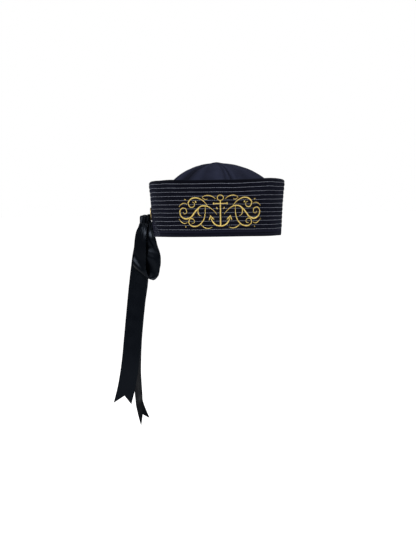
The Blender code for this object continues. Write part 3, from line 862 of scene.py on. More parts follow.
def crown_painted_shade(azimuth, climb):
    """Painted shade and light on the dome's cloth: up to 1 for painted light on its ridges, down to -1
    for painted shade in its folds and seams.
    """
    azimuth, climb = np.broadcast_arrays(np.asarray(azimuth, float), np.asarray(climb, float))
    radius = CROWN_RADIUS * np.cos(dome_angle(climb))
    from_seam = from_nearest_seam(azimuth, radius)
    worn_and_painted_shade = -0.6 * bell(from_seam, 1.5 * MM) * between(radius, 10 * MM, 40 * MM)
    for fold, near in dome_folds(azimuth, climb, radius):
        worn_and_painted_shade = worn_and_painted_shade + np.clip(fold.depth / FULLY_PAINTED, -1, 1) * near
    return np.clip(worn_and_painted_shade, -1, 1)


def crown_point(azimuth, climb, inset=0.0, relief=1.0):
    """A point on the crown; climb is 0 at the rim, 1 at the band's top and 2 at the apex."""
    azimuth, climb = np.broadcast_arrays(np.asarray(azimuth, float), np.asarray(climb, float))
    up = dome_angle(climb)
    radius = (CROWN_RADIUS - inset) * np.cos(up)
    z = np.clip(climb, 0, 1) * BAND_HEIGHT + (DOME_HEIGHT - inset) * np.sin(up)
    from_seam = from_nearest_seam(azimuth, radius)
    whole = np.minimum(1, radius / (CROWN_RADIUS / 3))
    height = -SEAM_GROOVE * bell(from_seam, 0.9 * MM) * whole
    height = height - SEAM_VALLEY * bell(from_seam, 6 * MM) * whole
    lip = between(from_seam, 0.6 * MM, 1.4 * MM) * (1 - between(from_seam, 3.4 * MM, 4.6 * MM))
    height = height + SEAM_LIP * lip * whole
    stitched = bell(from_seam - TOPSTITCH_FROM_SEAM, 0.7 * MM)
    height = height - STITCH_DIP * stitched * whole
    near_apex = between(radius, 1.5 * MM, 7 * MM) * (1 - between(radius, 12 * MM, 46 * MM))
    turn = np.radians(azimuth)
    gathers = np.cos(GATHERS * turn + 1.3 * np.sin(3 * turn)) * 0.7 + np.cos(19 * turn) * 0.3
    height = height + GATHER_DEPTH * gathers * near_apex
    open_cloth = between(from_seam, 2 * MM, 14 * MM) * between(climb, 0.9, 1.25)
    open_cloth = open_cloth * between(radius, 2 * MM, 16 * MM)
    soft = crown_give(radius * np.sin(turn), radius * np.cos(turn) + z)
    fine = crown_fine(radius * np.sin(turn) * 1.3, radius * np.cos(turn) + 0.6 * z)
    height = height + (CROWN_GIVE * soft + FINE_GIVE * fine) * open_cloth
    for fold, near in dome_folds(azimuth, climb, radius):
        height = height + fold.depth * MM * near
    sagging = between(radius, 0, 10 * MM) * (1 - between(radius, 28 * MM, 52 * MM))
    height = height - SHOULDER_SAG * sagging
    height = height * relief
    slope = dome_slope(climb)
    place = around(azimuth, radius + height * np.cos(slope), z + height * np.sin(slope))
    towards_apex = np.clip((np.sin(up) - 0.55) / 0.45, 0, 1)
    place[..., 0] += CROWN_LEAN * between(climb, 1.0, 1.35) * (1 - towards_apex**2)
    return place


def make_crown():
    """The gored crown: an outer skin, an inner one and a turned hem at the rim."""
    columns = len(crown_azimuths)
    rim = np.array((0.0, 0.015, 0.04, 0.09, 0.16))
    skins, uv, worn_and_painted_shade = [], [], []
    for inset, count, relief in ((0.0, CROWN_ROWS_OUTSIDE, 1.0), (CROWN_WALL, CROWN_ROWS_INSIDE, 0.8)):
        band = np.concatenate((rim, np.linspace(0.25, 1, 9)))
        dome = 1 + np.linspace(0, 1, count)[1:-1] ** 0.94
        climb = np.concatenate((band, dome))
        points = crown_point(crown_azimuths[None, :], climb[:, None], inset, relief)
        fold = np.sqrt(1 - np.clip(1 - climb * BAND_HEIGHT / (0.75 * MM), 0, 1) ** 2)
        middle = CROWN_RADIUS - CROWN_WALL / 2
        level = np.hypot(points[..., 0], points[..., 1])
        wanted = np.where(climb[:, None] < 0.05, middle + (level - middle) * fold[:, None], level)
        points[..., :2] *= (wanted / level)[..., None]
        skins.append(points)
        on_dome = BAND_HEIGHT + (climb - 1) * DOME_ARC * MM
        length = np.where(climb < 1, climb * BAND_HEIGHT, on_dome)
        turn = np.radians(crown_azimuths - FIRST_SEAM)
        uv.append(stacked(turn[None, :] * CROWN_RADIUS, length[:, None]))
        worn_and_painted_shade.append(crown_painted_shade(crown_azimuths[None, :], climb[:, None]).ravel())
    outside, inside = skins
    apexes = [(0, 0, BAND_HEIGHT + DOME_HEIGHT), (0, 0, BAND_HEIGHT + DOME_HEIGHT - CROWN_WALL)]
    points = np.concatenate((outside.reshape(-1, 3), inside.reshape(-1, 3), apexes))
    first_inside = outside.shape[0] * columns
    apex = first_inside + inside.shape[0] * columns
    faces = [
        *lattice(outside.shape[0], columns, closed=True),
        *(lattice(inside.shape[0], columns, closed=True) + first_inside),
        *hoop(np.arange(columns), first_inside + np.arange(columns)),
    ]
    for last, top in ((first_inside - columns, apex), (apex - columns, apex + 1)):
        faces.extend(fan(last + np.arange(columns), top))
    flat = [layer.reshape(-1, 2) for layer in uv]
    tops = [(0, BAND_HEIGHT + DOME_ARC * MM)] * 2
    made = made_piece(
        "crown_cloth",
        points,
        faces,
        crown_twill,
        uv=np.concatenate((*flat, tops)),
        around_uv=2 * math.pi * CROWN_RADIUS,
    )
    # The dome's painted shade in its folds and seams and its painted light on its ridges, kept on the
    # mesh
    wear_and_painted_shade = made.data.attributes.new("worn_and_painted_shade", "FLOAT", "POINT")
    wear_and_painted_shade.data.foreach_set("value", np.concatenate((*worn_and_painted_shade, (0, 0))))
    return made


def away_from_crown(azimuth, climb):
    """Which way is out of the crown's outer side."""
    slope, turn = dome_slope(climb), np.radians(azimuth)
    return stacked(np.cos(slope) * np.sin(turn), -np.cos(slope) * np.cos(turn), np.sin(slope))


def seam_lines():
    """The two rows of topstitching beside each seam of the crown, from the rim to the apex."""
    lines = []
    climb = np.concatenate((np.linspace(0.06, 1, 24), 1 + np.linspace(0.01, 0.93, 80)))
    radius = CROWN_RADIUS * np.cos(dome_angle(climb))
    for seam in range(GORES):
        for side in (-1, 1):
            kept = radius > TOPSTITCH_FROM_SEAM * 2.4
            turn = np.degrees(TOPSTITCH_FROM_SEAM / radius[kept]) * side
            azimuth = FIRST_SEAM + seam * 360 / GORES + turn
            places = crown_point(azimuth, climb[kept])
            lines.append((places, away_from_crown(azimuth, climb[kept]), 2.1 * MM, 1.0))
    return lines


dressed(make_crown(), "crown_twill", "crown")
dressed(
    sewn(
        "crown_stitches",
        seam_lines(),
        seam_thread,
        Pitch=2.6 * MM,
        Thread_radius=0.19 * MM,
        Arch=0.16 * MM,
        Sink=0.14 * MM,
        Seed=3,
    ),
    "crown_twill",
)


# ------------------------------------------------------------------ brim

BRIM_COLUMNS = 330
LEG_ROWS = 23
RIB_STEPS = (0, 0.07, 0.2, 0.5, 0.8, 0.93)  # shares of a rib's width
EDGE_STEPS = (0, 0.10, 0.32, 0.70, 1.20)  # millimetres in from a folded edge
HEM_STEPS = (0.35, 0.6, 0.82, 0.94)  # shares of the way from the top edge to the first row
EDGE_ROUND = 1.3 * MM
RIB_FULLNESS = 2.1
HEM_PUFF = 0.55  # how full the folded top edge is, as a share of a rib
FOOT_PUFF = 0.5
BRIM_BOW = 0.5 * MM  # how far the brim's side bows in, half way up
TOP_ROLL = 3.2 * MM  # how far the folded top edge rolls in at the sides
ROLL_DEPTH = 5.2 * MM
PULL = 1.2 * MM  # how far the knotted ribbon pulls the foot of the front end out
PULL_AZIMUTH = -97
PULL_BREADTH = 12
PULL_HEIGHT = 14 * MM
PULL_REACH = 9 * MM  # up and down from that height
BRIM_GIVE = 0.35 * MM  # how far the soft brim leaves its true shape

# Where the soft brim's edges rise or sink: azimuth and breadth in degrees, and how far the top
# and the foot go up in millimetres
EdgeWave = namedtuple("EdgeWave", "azimuth breadth top foot")
EDGE_WAVES = (
    EdgeWave(52, 20, 1.6, -0.6),
    EdgeWave(90, 15, -0.5, -0.6),
    EdgeWave(132, 18, 1.1, 0.0),
    EdgeWave(180, 25, -0.6, 0.3),
    EdgeWave(-138, 14, 0.9, 0.0),
    EdgeWave(-86, 9, 0.7, 0.0),
    EdgeWave(-60, 8, -0.3, 0.2),
    EdgeWave(-44, 14, 0.9, 0.0),
)
DROOP = 2.2 * MM  # how far the upper rows sink towards the laced ends
DROOP_FROM = 62
DROOP_TO = 94
DROOP_FADES = (125, 160)
ROW_WANDER = 0.32 * MM
ROW_STITCH = 3.0 * MM
ROW_STEP = 1.1 * MM  # between the points of a row's line
ROW_FOOT = 1.6 * MM  # how far above the brim's foot a row's legs end
LEG_GIRTH = 0.5  # the thread is pulled in flatter where a row runs down the brim's end
PUCKER = 0.16 * MM
PUNCH_RADIUS = EYELET_BARREL + 0.25 * MM

row_wander = ripples(21, 10, 26 * MM, 80 * MM)
brim_give = ripples(22, 8, 60 * MM, 160 * MM)
brim_pucker = ripples(23, 22, 5 * MM, 13 * MM)
eyelet_places = [
    (
        (math.radians(azimuth - SPLIT_AZIMUTH) % (2 * math.pi)) * BRIM_MEAN_RADIUS - SPLIT_GAP / 2,
        BRIM_SLANT * (1 - EYELET_HEIGHT / BRIM_HEIGHT),
    )
    for azimuth in EYELET_AZIMUTHS.values()
]


def brim_radius(z):
    """Radius of the brim's outer side in its stitched rows."""
    share = z / BRIM_HEIGHT
    bow = BRIM_BOW * 4 * share * (1 - share)
    return BRIM_FOOT_RADIUS + (BRIM_TOP_RADIUS - BRIM_FOOT_RADIUS) * share - bow


def brim_azimuth(along):
    """The azimuth of places along the brim, from its front end."""
    return SPLIT_AZIMUTH + np.degrees((along + SPLIT_GAP / 2) / BRIM_MEAN_RADIUS)


def brim_place(along, down, out):
    """A point on or off the brim: along it from the front end, down from its top edge, and out
    from the middle of its wall."""
    wander = ROW_WANDER * row_wander(along, down) * between(down, 0, 4 * MM)
    wander = wander * (1 - between(down, BRIM_SLANT - 6 * MM, BRIM_SLANT))
    z = BRIM_HEIGHT * (1 - (down + wander) / BRIM_SLANT)
    azimuth = brim_azimuth(along)
    give = BRIM_GIVE * brim_give(along, down)
    sideways = np.sin(np.radians(azimuth)) ** 2
    roll = TOP_ROLL * (0.3 + 0.7 * sideways) * np.clip(1 - down / ROLL_DEPTH, 0, 1) ** 2.2
    from_pull = turned_from(azimuth, PULL_AZIMUTH)
    pull = PULL * np.exp(-((from_pull / PULL_BREADTH) ** 2) - ((z - PULL_HEIGHT) / PULL_REACH) ** 2)
    radius = brim_radius(z) - BRIM_WALL / 2 + out + give + pull - roll
    share = np.clip(z / BRIM_HEIGHT, 0, 1)
    for wave in EDGE_WAVES:
        near = bell(turned_from(azimuth, wave.azimuth), wave.breadth)
        z = z + near * (wave.top * share**3 + wave.foot * (1 - share) ** 3) * MM
    from_front = turned_from(azimuth, 0)
    away = np.abs(from_front)
    laced = between(away, DROOP_FROM, DROOP_TO) * (1 - between(away, *DROOP_FADES))
    z = z - DROOP * share**2 * np.where(from_front < 0, laced, 0)
    return around(azimuth, radius, z)


def away_from_brim(along, side):
    """Which way is out of the brim's outer side, or for side -1 out of its inner one."""
    return around(brim_azimuth(along), math.cos(FLARE), -math.sin(FLARE)) * side


def from_end(along):
    """How far a place on the brim is from the nearer one of its ends."""
    return np.minimum(along, BRIM_LENGTH - along)


def from_eyelet(along, down):
    """How far a place on the brim is from the nearer eyelet's middle."""
    return np.min([np.hypot(along - at, down - below) for at, below in eyelet_places], axis=0)


def quilt_relief(along, down, side):
    """How far the quilted cloth stands out from its stitched rows."""
    offset = np.minimum(from_end(along), down)
    rib = (offset - FIRST_ROW) / ROW_SPACING
    share = rib % 1
    puff = 1 - np.abs(2 * share - 1) ** RIB_FULLNESS
    rim_share = np.clip(offset / FIRST_ROW, 0, 1)
    rim = HEM_PUFF * (1 - np.abs(2 * rim_share - 1) ** RIB_FULLNESS)
    past = offset - LAST_ROW
    foot = FOOT_PUFF * (1 - np.exp(-np.clip(past, 0, 1) / (1.1 * MM))) * (
        1 - np.clip((down - LAST_ROW) / (BRIM_SLANT - LAST_ROW), 0, 1) ** 4
    )
    puff = np.where(offset < FIRST_ROW, rim, np.where(past > -1e-7, foot, puff))
    uneven = 1 + 0.22 * brim_pucker(along * 0.6, np.floor(rib) * 31 * MM)
    pucker = PUCKER * brim_pucker(along, down * 1.5) * np.minimum(1, 1.6 * puff)
    depth = RIB_OUTSIDE if side > 0 else RIB_INSIDE
    relief = depth * puff * uneven + pucker * (1 if side > 0 else 0.6)
    under = 1 - between(from_eyelet(along, down), EYELET_FLANGE - 0.6 * MM, EYELET_FLANGE + 3 * MM)
    pressed = EYELET_SEAT - 0.05 * MM if side > 0 else 0.8 * RIB_INSIDE
    return relief * (1 - under) + pressed * under


def brim_lines():
    """Places on the brim as nested lines: each runs up one end, along and down the other."""
    offsets = [step * MM for step in EDGE_STEPS] + [FIRST_ROW * share for share in HEM_STEPS]
    for row in range(ROWS - 1):
        offsets += [FIRST_ROW + (row + step) * ROW_SPACING for step in RIB_STEPS]
    foot = np.array(EDGE_STEPS) * MM
    lines = []
    for offset in (*offsets, LAST_ROW):
        rest = np.linspace(foot[-1], BRIM_SLANT - offset, LEG_ROWS)[1:]
        leg = BRIM_SLANT - np.concatenate((foot, rest))
        run = offset + (BRIM_LENGTH - 2 * offset) * np.arange(1, BRIM_COLUMNS) / BRIM_COLUMNS
        ends = np.full(len(leg), offset)
        along = np.concatenate((ends, run, BRIM_LENGTH - ends))
        down = np.concatenate((leg, np.full(len(run), offset), leg[::-1]))
        lines.append(np.stack((along, down), axis=-1))
    return np.array(lines), len(leg)


def brim_half(along, down):
    """Half the brim's wall, rounded off at its folded edges."""
    edge = np.minimum(from_end(along), np.minimum(down, BRIM_SLANT - down))
    inwards = np.clip(1 - edge / EDGE_ROUND, 0, 1)
    return BRIM_WALL / 2 * np.maximum(np.sqrt(1 - inwards**2), 0.16)


def make_brim():
    """The quilted brim, closed round its folded edge, with its two punched holes."""
    lines, leg = brim_lines()
    rows, columns = lines.shape[:2]
    last = (rows - 1) * columns
    across, depths = lines[-1, leg:-leg, 0], lines[-1, : leg - 1, 1]
    plain = stacked(across[None, :], depths[:, None])
    plain_numbers = rows * columns + np.arange(plain[..., 0].size).reshape(plain.shape[:2])
    left = last + np.arange(leg - 1)
    right = last + columns - 1 - np.arange(leg - 1)
    grid = np.column_stack((left, plain_numbers, right))
    grid = np.vstack((grid, last + np.arange(leg - 1, columns - leg + 1)))
    skin = np.concatenate((lattice(rows, columns), quads_of(grid)))

    places = np.concatenate((lines.reshape(-1, 2), plain.reshape(-1, 2)))
    along, down = places[:, 0], places[:, 1]
    ends = np.minimum(BRIM_SLANT - down, from_end(along))
    sides = []
    for side in (1, -1):
        relief = quilt_relief(along, down, side) * between(ends, 0, 2.4 * MM)
        sides.append(brim_place(along, down, side * (brim_half(along, down) + relief)))
    outline = np.concatenate(
        (
            np.arange(columns),
            columns * np.arange(2, rows + 1) - 1,
            grid[0, 1:-1][::-1],
            columns * np.arange(rows - 1, 0, -1),
        )
    )
    faces = np.concatenate((skin, skin + len(places), hoop(outline, outline + len(places))))
    brim = made_piece(
        "brim_cloth", np.concatenate(sides), faces, brim_twill, uv=np.tile(places * (1, -1), (2, 1))
    )
    for where, azimuth in EYELET_AZIMUTHS.items():
        punch = bmesh.new()
        bmesh.ops.create_cone(
            punch,
            cap_ends=True,
            segments=48,
            radius1=PUNCH_RADIUS,
            radius2=PUNCH_RADIUS,
            depth=6 * BRIM_WALL,
            matrix=eyelet_frame(azimuth),
        )
        mesh = bpy.data.meshes.new("punch_" + where)
        punch.to_mesh(mesh)
        punch.free()
        mesh.materials.append(brim_twill)
        hole = brim.modifiers.new("hole_" + where, "BOOLEAN")
        hole.operation = "DIFFERENCE"
        hole.solver = "EXACT"
        hole.object = in_scene("punch_" + where, mesh)
    settled(brim)
    for where in EYELET_AZIMUTHS:
        bpy.data.objects.remove(bpy.data.objects["punch_" + where])
    return brim


def eyelet_frame(azimuth):
    """An eyelet's place: its origin on the brim's outer side, its +Z along its axis, outwards."""
    turn = math.radians(azimuth)
    level = Vector((math.sin(turn), -math.cos(turn), 0))
    axis = (level * math.cos(FLARE) - Vector((0, 0, 1)) * math.sin(FLARE)).normalized()
    place = level * brim_radius(EYELET_HEIGHT) + Vector((0, 0, EYELET_HEIGHT))
    return Matrix.Translation(place) @ axis.to_track_quat("Z", "Y").to_matrix().to_4x4()


def row_lines(side):
    """The quilting's rows on one side of the brim, left out where an eyelet's flange lies."""
    lines = []
    flange = (EYELET_FLANGE if side > 0 else EYELET_WASHER) + 0.5 * MM
    for row in range(ROWS):
        offset = FIRST_ROW + row * ROW_SPACING
        leg = BRIM_SLANT - ROW_FOOT - offset
        ups = np.linspace(0, leg, max(int(leg / ROW_STEP), 3))
        count = int((BRIM_LENGTH - 2 * offset) / ROW_STEP)
        runs = np.linspace(offset, BRIM_LENGTH - offset, count)
        ends = np.full(len(ups), offset)
        along = np.concatenate((ends, runs[1:-1], BRIM_LENGTH - ends))
        down = BRIM_SLANT - ROW_FOOT - ups
        down = np.concatenate((down, np.full(len(runs) - 2, offset), down[::-1]))
        clear = from_eyelet(along, down) > flange
        cuts = np.flatnonzero(np.diff(clear.astype(int))) + 1
        for part in np.split(np.arange(len(along)), cuts):
            if len(part) > 3 and clear[part[0]]:
                out = side * (BRIM_WALL / 2 + quilt_relief(along[part], down[part], side) + 0.06 * MM)
                places = brim_place(along[part], down[part], out)
                girth = np.where(down[part] > offset + 1 * MM, LEG_GIRTH, 1.0)
                lines.append((places, away_from_brim(along[part], side), ROW_STITCH, girth))
    return lines


dressed(make_brim(), "brim_twill", "brim")
for side, where, seed in ((1, "outside", 5), (-1, "inside", 6)):
    dressed(
        sewn(
            "row_stitches_" + where,
            row_lines(side),
            row_thread,
            Pitch=3.15 * MM,
            Thread_radius=0.29 * MM,
            Arch=0.24 * MM,
            Sink=0.10 * MM,
            Unevenness=0.05,
            Seed=seed,
        ),
        "row_thread",
    )


# ------------------------------------------------------------------ eyelets

EYELET_ROLL = 1.5 * MM  # how far the rolled flange rises off its seat
EYELET_SIDES = 96


def make_eyelet(where, azimuth):
    """A grommet: a rolled flange outside, a barrel through the brim and a washer inside."""
    seat = EYELET_SEAT
    back = -BRIM_WALL - 0.85 * RIB_INSIDE
    roll = EYELET_FLANGE - EYELET_HOLE
    arch = [
        (EYELET_HOLE + roll * (0.5 - 0.5 * math.cos(a)), seat + EYELET_ROLL * math.sin(a) ** 0.5)
        for a in np.linspace(0.02, math.pi - 0.02, 18)
    ]
    profile = [
        (EYELET_HOLE, back - 0.55 * MM),
        (EYELET_HOLE - 0.05 * MM, back - 0.3 * MM),
        (EYELET_HOLE - 0.05 * MM, seat - 0.3 * MM),
        *arch,
        (EYELET_FLANGE - 0.35 * MM, seat),
        (EYELET_BARREL, seat),
        (EYELET_BARREL, back),
        (EYELET_WASHER - 0.15 * MM, back),
        (EYELET_WASHER, back - 0.15 * MM),
        (EYELET_WASHER - 0.1 * MM, back - 0.45 * MM),
        (EYELET_WASHER - 0.5 * MM, back - 0.6 * MM),
        (EYELET_HOLE + 0.4 * MM, back - 0.72 * MM),
    ]
    turn = np.arange(EYELET_SIDES) * 2 * math.pi / EYELET_SIDES
    radius, height = np.array(profile).T
    radius, height = radius[:, None], height[:, None]
    points = stacked(radius * np.cos(turn), radius * np.sin(turn), height).reshape(-1, 3)
    place = np.array(eyelet_frame(azimuth))
    points = points @ place[:3, :3].T + place[:3, 3]
    faces = [*lattice(len(profile), EYELET_SIDES, closed=True)]
    first = np.arange(EYELET_SIDES)
    faces.extend(hoop((len(profile) - 1) * EYELET_SIDES + first, first))
    return made_piece("grommet_" + where, points, faces, eyelet_brass)


for where, azimuth in EYELET_AZIMUTHS.items():
    dressed(make_eyelet(where, azimuth), "eyelet_brass", "eyelet_" + where)


# ------------------------------------------------------------------ embroidery

# A generic anchor between two sprays of scrolls, in millimetres from the middle of the motif:
# each stroke runs through its points and is as wide as its widths say at its start, middle and end
Stroke = namedtuple("Stroke", "points widths mirrored")
MOTIF_ALONG = 4.7 * MM  # its middle, from the front of the brim towards +X
MOTIF_HEIGHT = 36.3 * MM
STROKE_WEIGHT = 0.74
STROKE_STEP = 0.3  # millimetres between the points of a stroke's line
PRESSED_RIB = 0.6 * RIB_OUTSIDE
THREAD_PITCH = 0.36 * MM
PADDING_REACH = 0.10  # millimetres by which the darker padding shows beside the stitches
SATIN_TURN = math.radians(68)

STROKES = (
    Stroke(((0, 25.2), (3.3, 23.9), (4.4, 21.2), (3.3, 18.4), (0, 17.2)), (1.2, 1.5, 1.2), True),
    Stroke(((0, 17.4), (0, 0), (0, -19.5)), (2.0, 2.4, 3.0), False),
    Stroke(((0, 12.6), (5, 12.6), (9.6, 12.6)), (2.3, 2.1, 1.5), True),
    Stroke(((9.2, 14.2), (10.2, 12.6), (9.2, 11.0)), (1.2, 2.0, 1.2), True),
    Stroke(((0, -20.4), (5.4, -19.4), (10.4, -15.6), (13.6, -9.4)), (3.0, 2.7, 1.6), True),
    Stroke(((9.4, -10.6), (12.2, -8.2), (14.9, -4.4)), (0.8, 2.6, 0.6), True),
    Stroke(((17.4, -11.6), (15.6, -8.2), (14.9, -4.4)), (0.8, 2.3, 0.6), True),
    Stroke(
        ((5.5, -3), (11, 3.4), (19.5, 8.8), (29, 8.6), (37, 2.0), (44.5, -6.6), (53.5, -9.8),
         (61.4, -6.0), (63.4, 1.4), (58.6, 6.4), (52.6, 4.6), (51.8, -0.4), (55.6, -2.2), (57.8, 0.6)),
        (0.7, 3.0, 1.0),
        True,
    ),
    Stroke(
        ((18.5, 8.4), (25.0, 16.6), (34.0, 21.0), (43.6, 19.6), (48.4, 13.6), (45.6, 8.0),
         (39.8, 8.4), (38.4, 13.2), (42.0, 15.2)),
        (0.7, 2.5, 0.8),
        True,
    ),
    Stroke(
        ((22.5, 8.8), (22.6, -1.4), (25.6, -11.6), (33.4, -19.0), (43.0, -20.2), (48.8, -15.0),
         (46.4, -9.6), (40.6, -10.2), (39.8, -14.8), (43.4, -15.8)),
        (0.7, 2.4, 0.8),
        True,
    ),
    Stroke(((30.5, 8.0), (33.2, 3.6), (32.6, -2.6), (28.4, -5.4)), (0.6, 1.8, 0.6), True),
    Stroke(((7.0, 19.4), (13.0, 23.6), (20.4, 24.8), (26.2, 22.0)), (0.6, 1.7, 0.6), True),
    Stroke(((26.2, 22.0), (22.8, 19.0), (18.8, 19.4)), (0.6, 1.3, 0.6), True),
    Stroke(((12.6, -21.8), (19.0, -23.6), (25.6, -21.4), (29.6, -16.8)), (0.6, 1.7, 0.7), True),
    Stroke(((50.6, 12.0), (55.6, 13.6), (60.4, 12.0), (64.6, 8.0)), (0.6, 1.6, 0.5), True),
    Stroke(((51.0, -14.6), (56.0, -16.4), (61.2, -14.4), (65.4, -9.6)), (0.6, 1.6, 0.5), True),
    Stroke(((35.8, 14.0), (37.0, 16.6)), (1.4, 2.4, 1.4), True),
    Stroke(((52.6, 18.0), (54.2, 19.4)), (1.4, 2.3, 1.4), True),
    Stroke(((53.4, -20.8), (54.8, -21.8)), (1.4, 2.3, 1.4), True),
    Stroke(((4.6, 4.6), (5.8, 7.4)), (1.3, 2.1, 1.3), True),
)


def smooth_line(points, step):
    """Points along a smooth curve through the given ones, evenly spaced, with its directions."""
    given = np.array(points, float)
    lengths = run_along(given, 0.5)
    slopes = np.gradient(given, lengths, axis=0, edge_order=2 if len(given) > 2 else 1)
    fine = []
    for i in range(len(given) - 1):
        span = lengths[i + 1] - lengths[i]
        t = np.linspace(0, 1, 60, endpoint=i == len(given) - 2)[:, None]
        fine.append(eased(t, span, given[i], slopes[i], given[i + 1], slopes[i + 1]))
    fine = np.concatenate(fine)
    run = run_along(fine)
    count = max(int(run[-1] / step), 6)
    even = np.linspace(0, run[-1], count)
    places = np.stack([np.interp(even, run, fine[:, axis]) for axis in (0, 1)], axis=-1)
    return places, np.gradient(places, axis=0), even / run[-1]


def on_motif(x, y, out):
    """A place of the motif, in millimetres, above the ribs that its stitches press down."""
    along = -math.radians(SPLIT_AZIMUTH) * BRIM_MEAN_RADIUS - SPLIT_GAP / 2
    along = along + MOTIF_ALONG + x * MM
    down = BRIM_SLANT * (1 - (MOTIF_HEIGHT + y * MM) / BRIM_HEIGHT)
    pressed = np.maximum(quilt_relief(along, down, 1), PRESSED_RIB)
    return brim_place(along, down, BRIM_WALL / 2 + pressed + out), away_from_brim(along, 1)


def stroke_shapes():
    """Each stroke's line, directions and half widths in millimetres, its mirrored twin included."""
    for stroke in STROKES:
        for mirror in (1, -1) if stroke.mirrored else (1,):
            line, ahead, share = smooth_line(stroke.points, STROKE_STEP)
            start, middle, end = stroke.widths
            swell = np.sin(math.pi * share) ** 1.3
            width = STROKE_WEIGHT * ((start + (end - start) * share) * (1 - swell) + middle * swell)
            ends = np.minimum(share, 1 - share) * len(share) * STROKE_STEP
            width = width * np.sqrt(np.clip(ends / 0.35 + 0.25, 0, 1))
            sideways = np.stack((-ahead[:, 1], ahead[:, 0]), axis=-1)
            sideways /= np.linalg.norm(sideways, axis=1)[:, None]
            yield line * (mirror, 1), sideways * (mirror, 1), width / 2


def make_padding():
    """The raised padding under the satin stitch, one closed strip for each stroke."""
    section = np.array(
        ((-1, 0), (-0.85, 0.55), (-0.4, 0.92), (0, 1), (0.4, 0.92), (0.85, 0.55), (1, 0))
    )
    points, faces = [], []
    for line, sideways, half in stroke_shapes():
        reach = (half[:, None] + PADDING_REACH) * section[:, 0]
        across = line[:, None, :] + sideways[:, None, :] * reach[..., None]
        height = (0.04 + 0.14 * half[:, None]) * section[:, 1] * MM
        top, _ = on_motif(across[..., 0], across[..., 1], height)
        under, _ = on_motif(across[..., 0], across[..., 1], np.full(height.shape, -0.7 * MM))
        ring = np.concatenate((top, under[:, ::-1]), axis=1)
        first = sum(len(part) for part in points)
        rows, columns = ring.shape[:2]
        points.append(ring.reshape(-1, 3))
        faces.extend((lattice(rows, columns, closed=True) + first).tolist())
        faces.append((first + np.arange(columns)).tolist())
        faces.append((first + (rows - 1) * columns + np.arange(columns)).tolist())
    return made_piece("motif_padding", np.concatenate(points), faces, gold_padding)


def satin_lines():
    """The middle of each stroke, as the line across which its satin stitches lie."""
    lines = []
    for line, _, half in stroke_shapes():
        height = (0.10 + 0.15 * half) * MM
        places, outward = on_motif(line[:, 0], line[:, 1], height)
        span = (2 * half + 0.18) * MM / math.sin(SATIN_TURN)
        lines.append((places, outward, span, 1.0))
    return lines


dressed(make_padding(), "gold_thread")
dressed(
    sewn(
        "motif_stitches",
        satin_lines(),
        gold_thread,
        Pitch=THREAD_PITCH,
        Thread_radius=0.19 * MM,
        Arch=0.10 * MM,
        Sink=0.42 * MM,
        Turn=SATIN_TURN,
        Unevenness=0.06,
        Bends=4,
        Seed=8,
    ),
    "gold_thread",
)


# ------------------------------------------------------------------ ribbon

RIBBON_THICKNESS = 0.42 * MM
RIBBON_STRIPS = 30
LOOP_ROWS = 170
TAIL_ROWS = 190
LOOP_DRIFT = 0.10  # millimetres by which the satin waves a little everywhere
TAIL_DRIFT = 0.08

# A fold of a ribbon runs straight from one place on it to another: shares of its length and of its
# width (-0.5 to 0.5), then the fold's breadth and height in millimetres
Fold = namedtuple("Fold", "start start_across end end_across breadth height")

LOOP_FOLDS = (
    Fold(0.04, -0.36, 0.10, -0.34, 1.5, -0.7),
    Fold(0.02, -0.10, 0.14, -0.08, 1.8, 0.7),
    Fold(0.03, 0.18, 0.16, 0.26, 1.8, -0.7),
    Fold(0.315, -0.50, 0.39, 0.20, 6.0, 0.8),
    Fold(0.375, -0.50, 0.43, 0.20, 7.0, -2.5),
    Fold(0.46, 0.30, 0.54, 0.44, 2.6, -0.7),
    Fold(0.56, 0.40, 0.66, 0.10, 3.0, 0.4),
    Fold(0.765, 0.20, 0.822, 0.0, 3.0, -0.9),
    Fold(0.88, -0.10, 0.98, -0.08, 1.6, -1.6),
    Fold(0.90, 0.26, 0.99, 0.24, 1.6, 1.0),
)
TAIL_FOLDS = (
    Fold(0.0, -0.28, 0.16, -0.30, 1.8, 0.9),
    Fold(0.0, -0.02, 0.20, -0.04, 2.2, -1.0),
    Fold(0.0, 0.24, 0.15, 0.28, 1.8, 0.9),
    Fold(0.22, 0.30, 0.50, 0.02, 5.5, 0.45),
    Fold(0.52, -0.34, 0.92, -0.12, 6.0, -0.45),
)


def section_distances(sections):
    """How far along the ribbon each section lies, in millimetres."""
    return run_along(np.array([(s.x, s.y, s.z) for s in sections]))


def sections_at(sections, distances, wanted):
    """The sections' values at distances along the ribbon, smooth through the given ones."""
    table = np.array(sections, float)
    slopes = np.empty_like(table)
    slopes[1:-1] = (table[2:] - table[:-2]) / (distances[2:] - distances[:-2])[:, None]
    slopes[0] = (table[1] - table[0]) / (distances[1] - distances[0])
    slopes[-1] = (table[-1] - table[-2]) / (distances[-1] - distances[-2])
    i = np.clip(np.searchsorted(distances, wanted, side="left") - 1, 0, len(distances) - 2)
    span = (distances[i + 1] - distances[i])[..., None]
    t = ((wanted - distances[i])[..., None]) / span
    return eased(t, span, table[i], slopes[i], table[i + 1], slopes[i + 1])


def fold_height(fold, run, across, length):
    """How far one fold lifts the ribbon, at runs and places across it in millimetres."""
    ahead = (fold.end - fold.start) * length
    sideways = (fold.end_across - fold.start_across) * RIBBON_WIDTH
    from_start = run - fold.start * length
    beside = across * RIBBON_WIDTH - fold.start_across * RIBBON_WIDTH
    share = np.clip((from_start * ahead + beside * sideways) / (ahead**2 + sideways**2), 0, 1)
    away = np.hypot(from_start - share * ahead, beside - share * sideways)
    return fold.height * bell(away, fold.breadth)


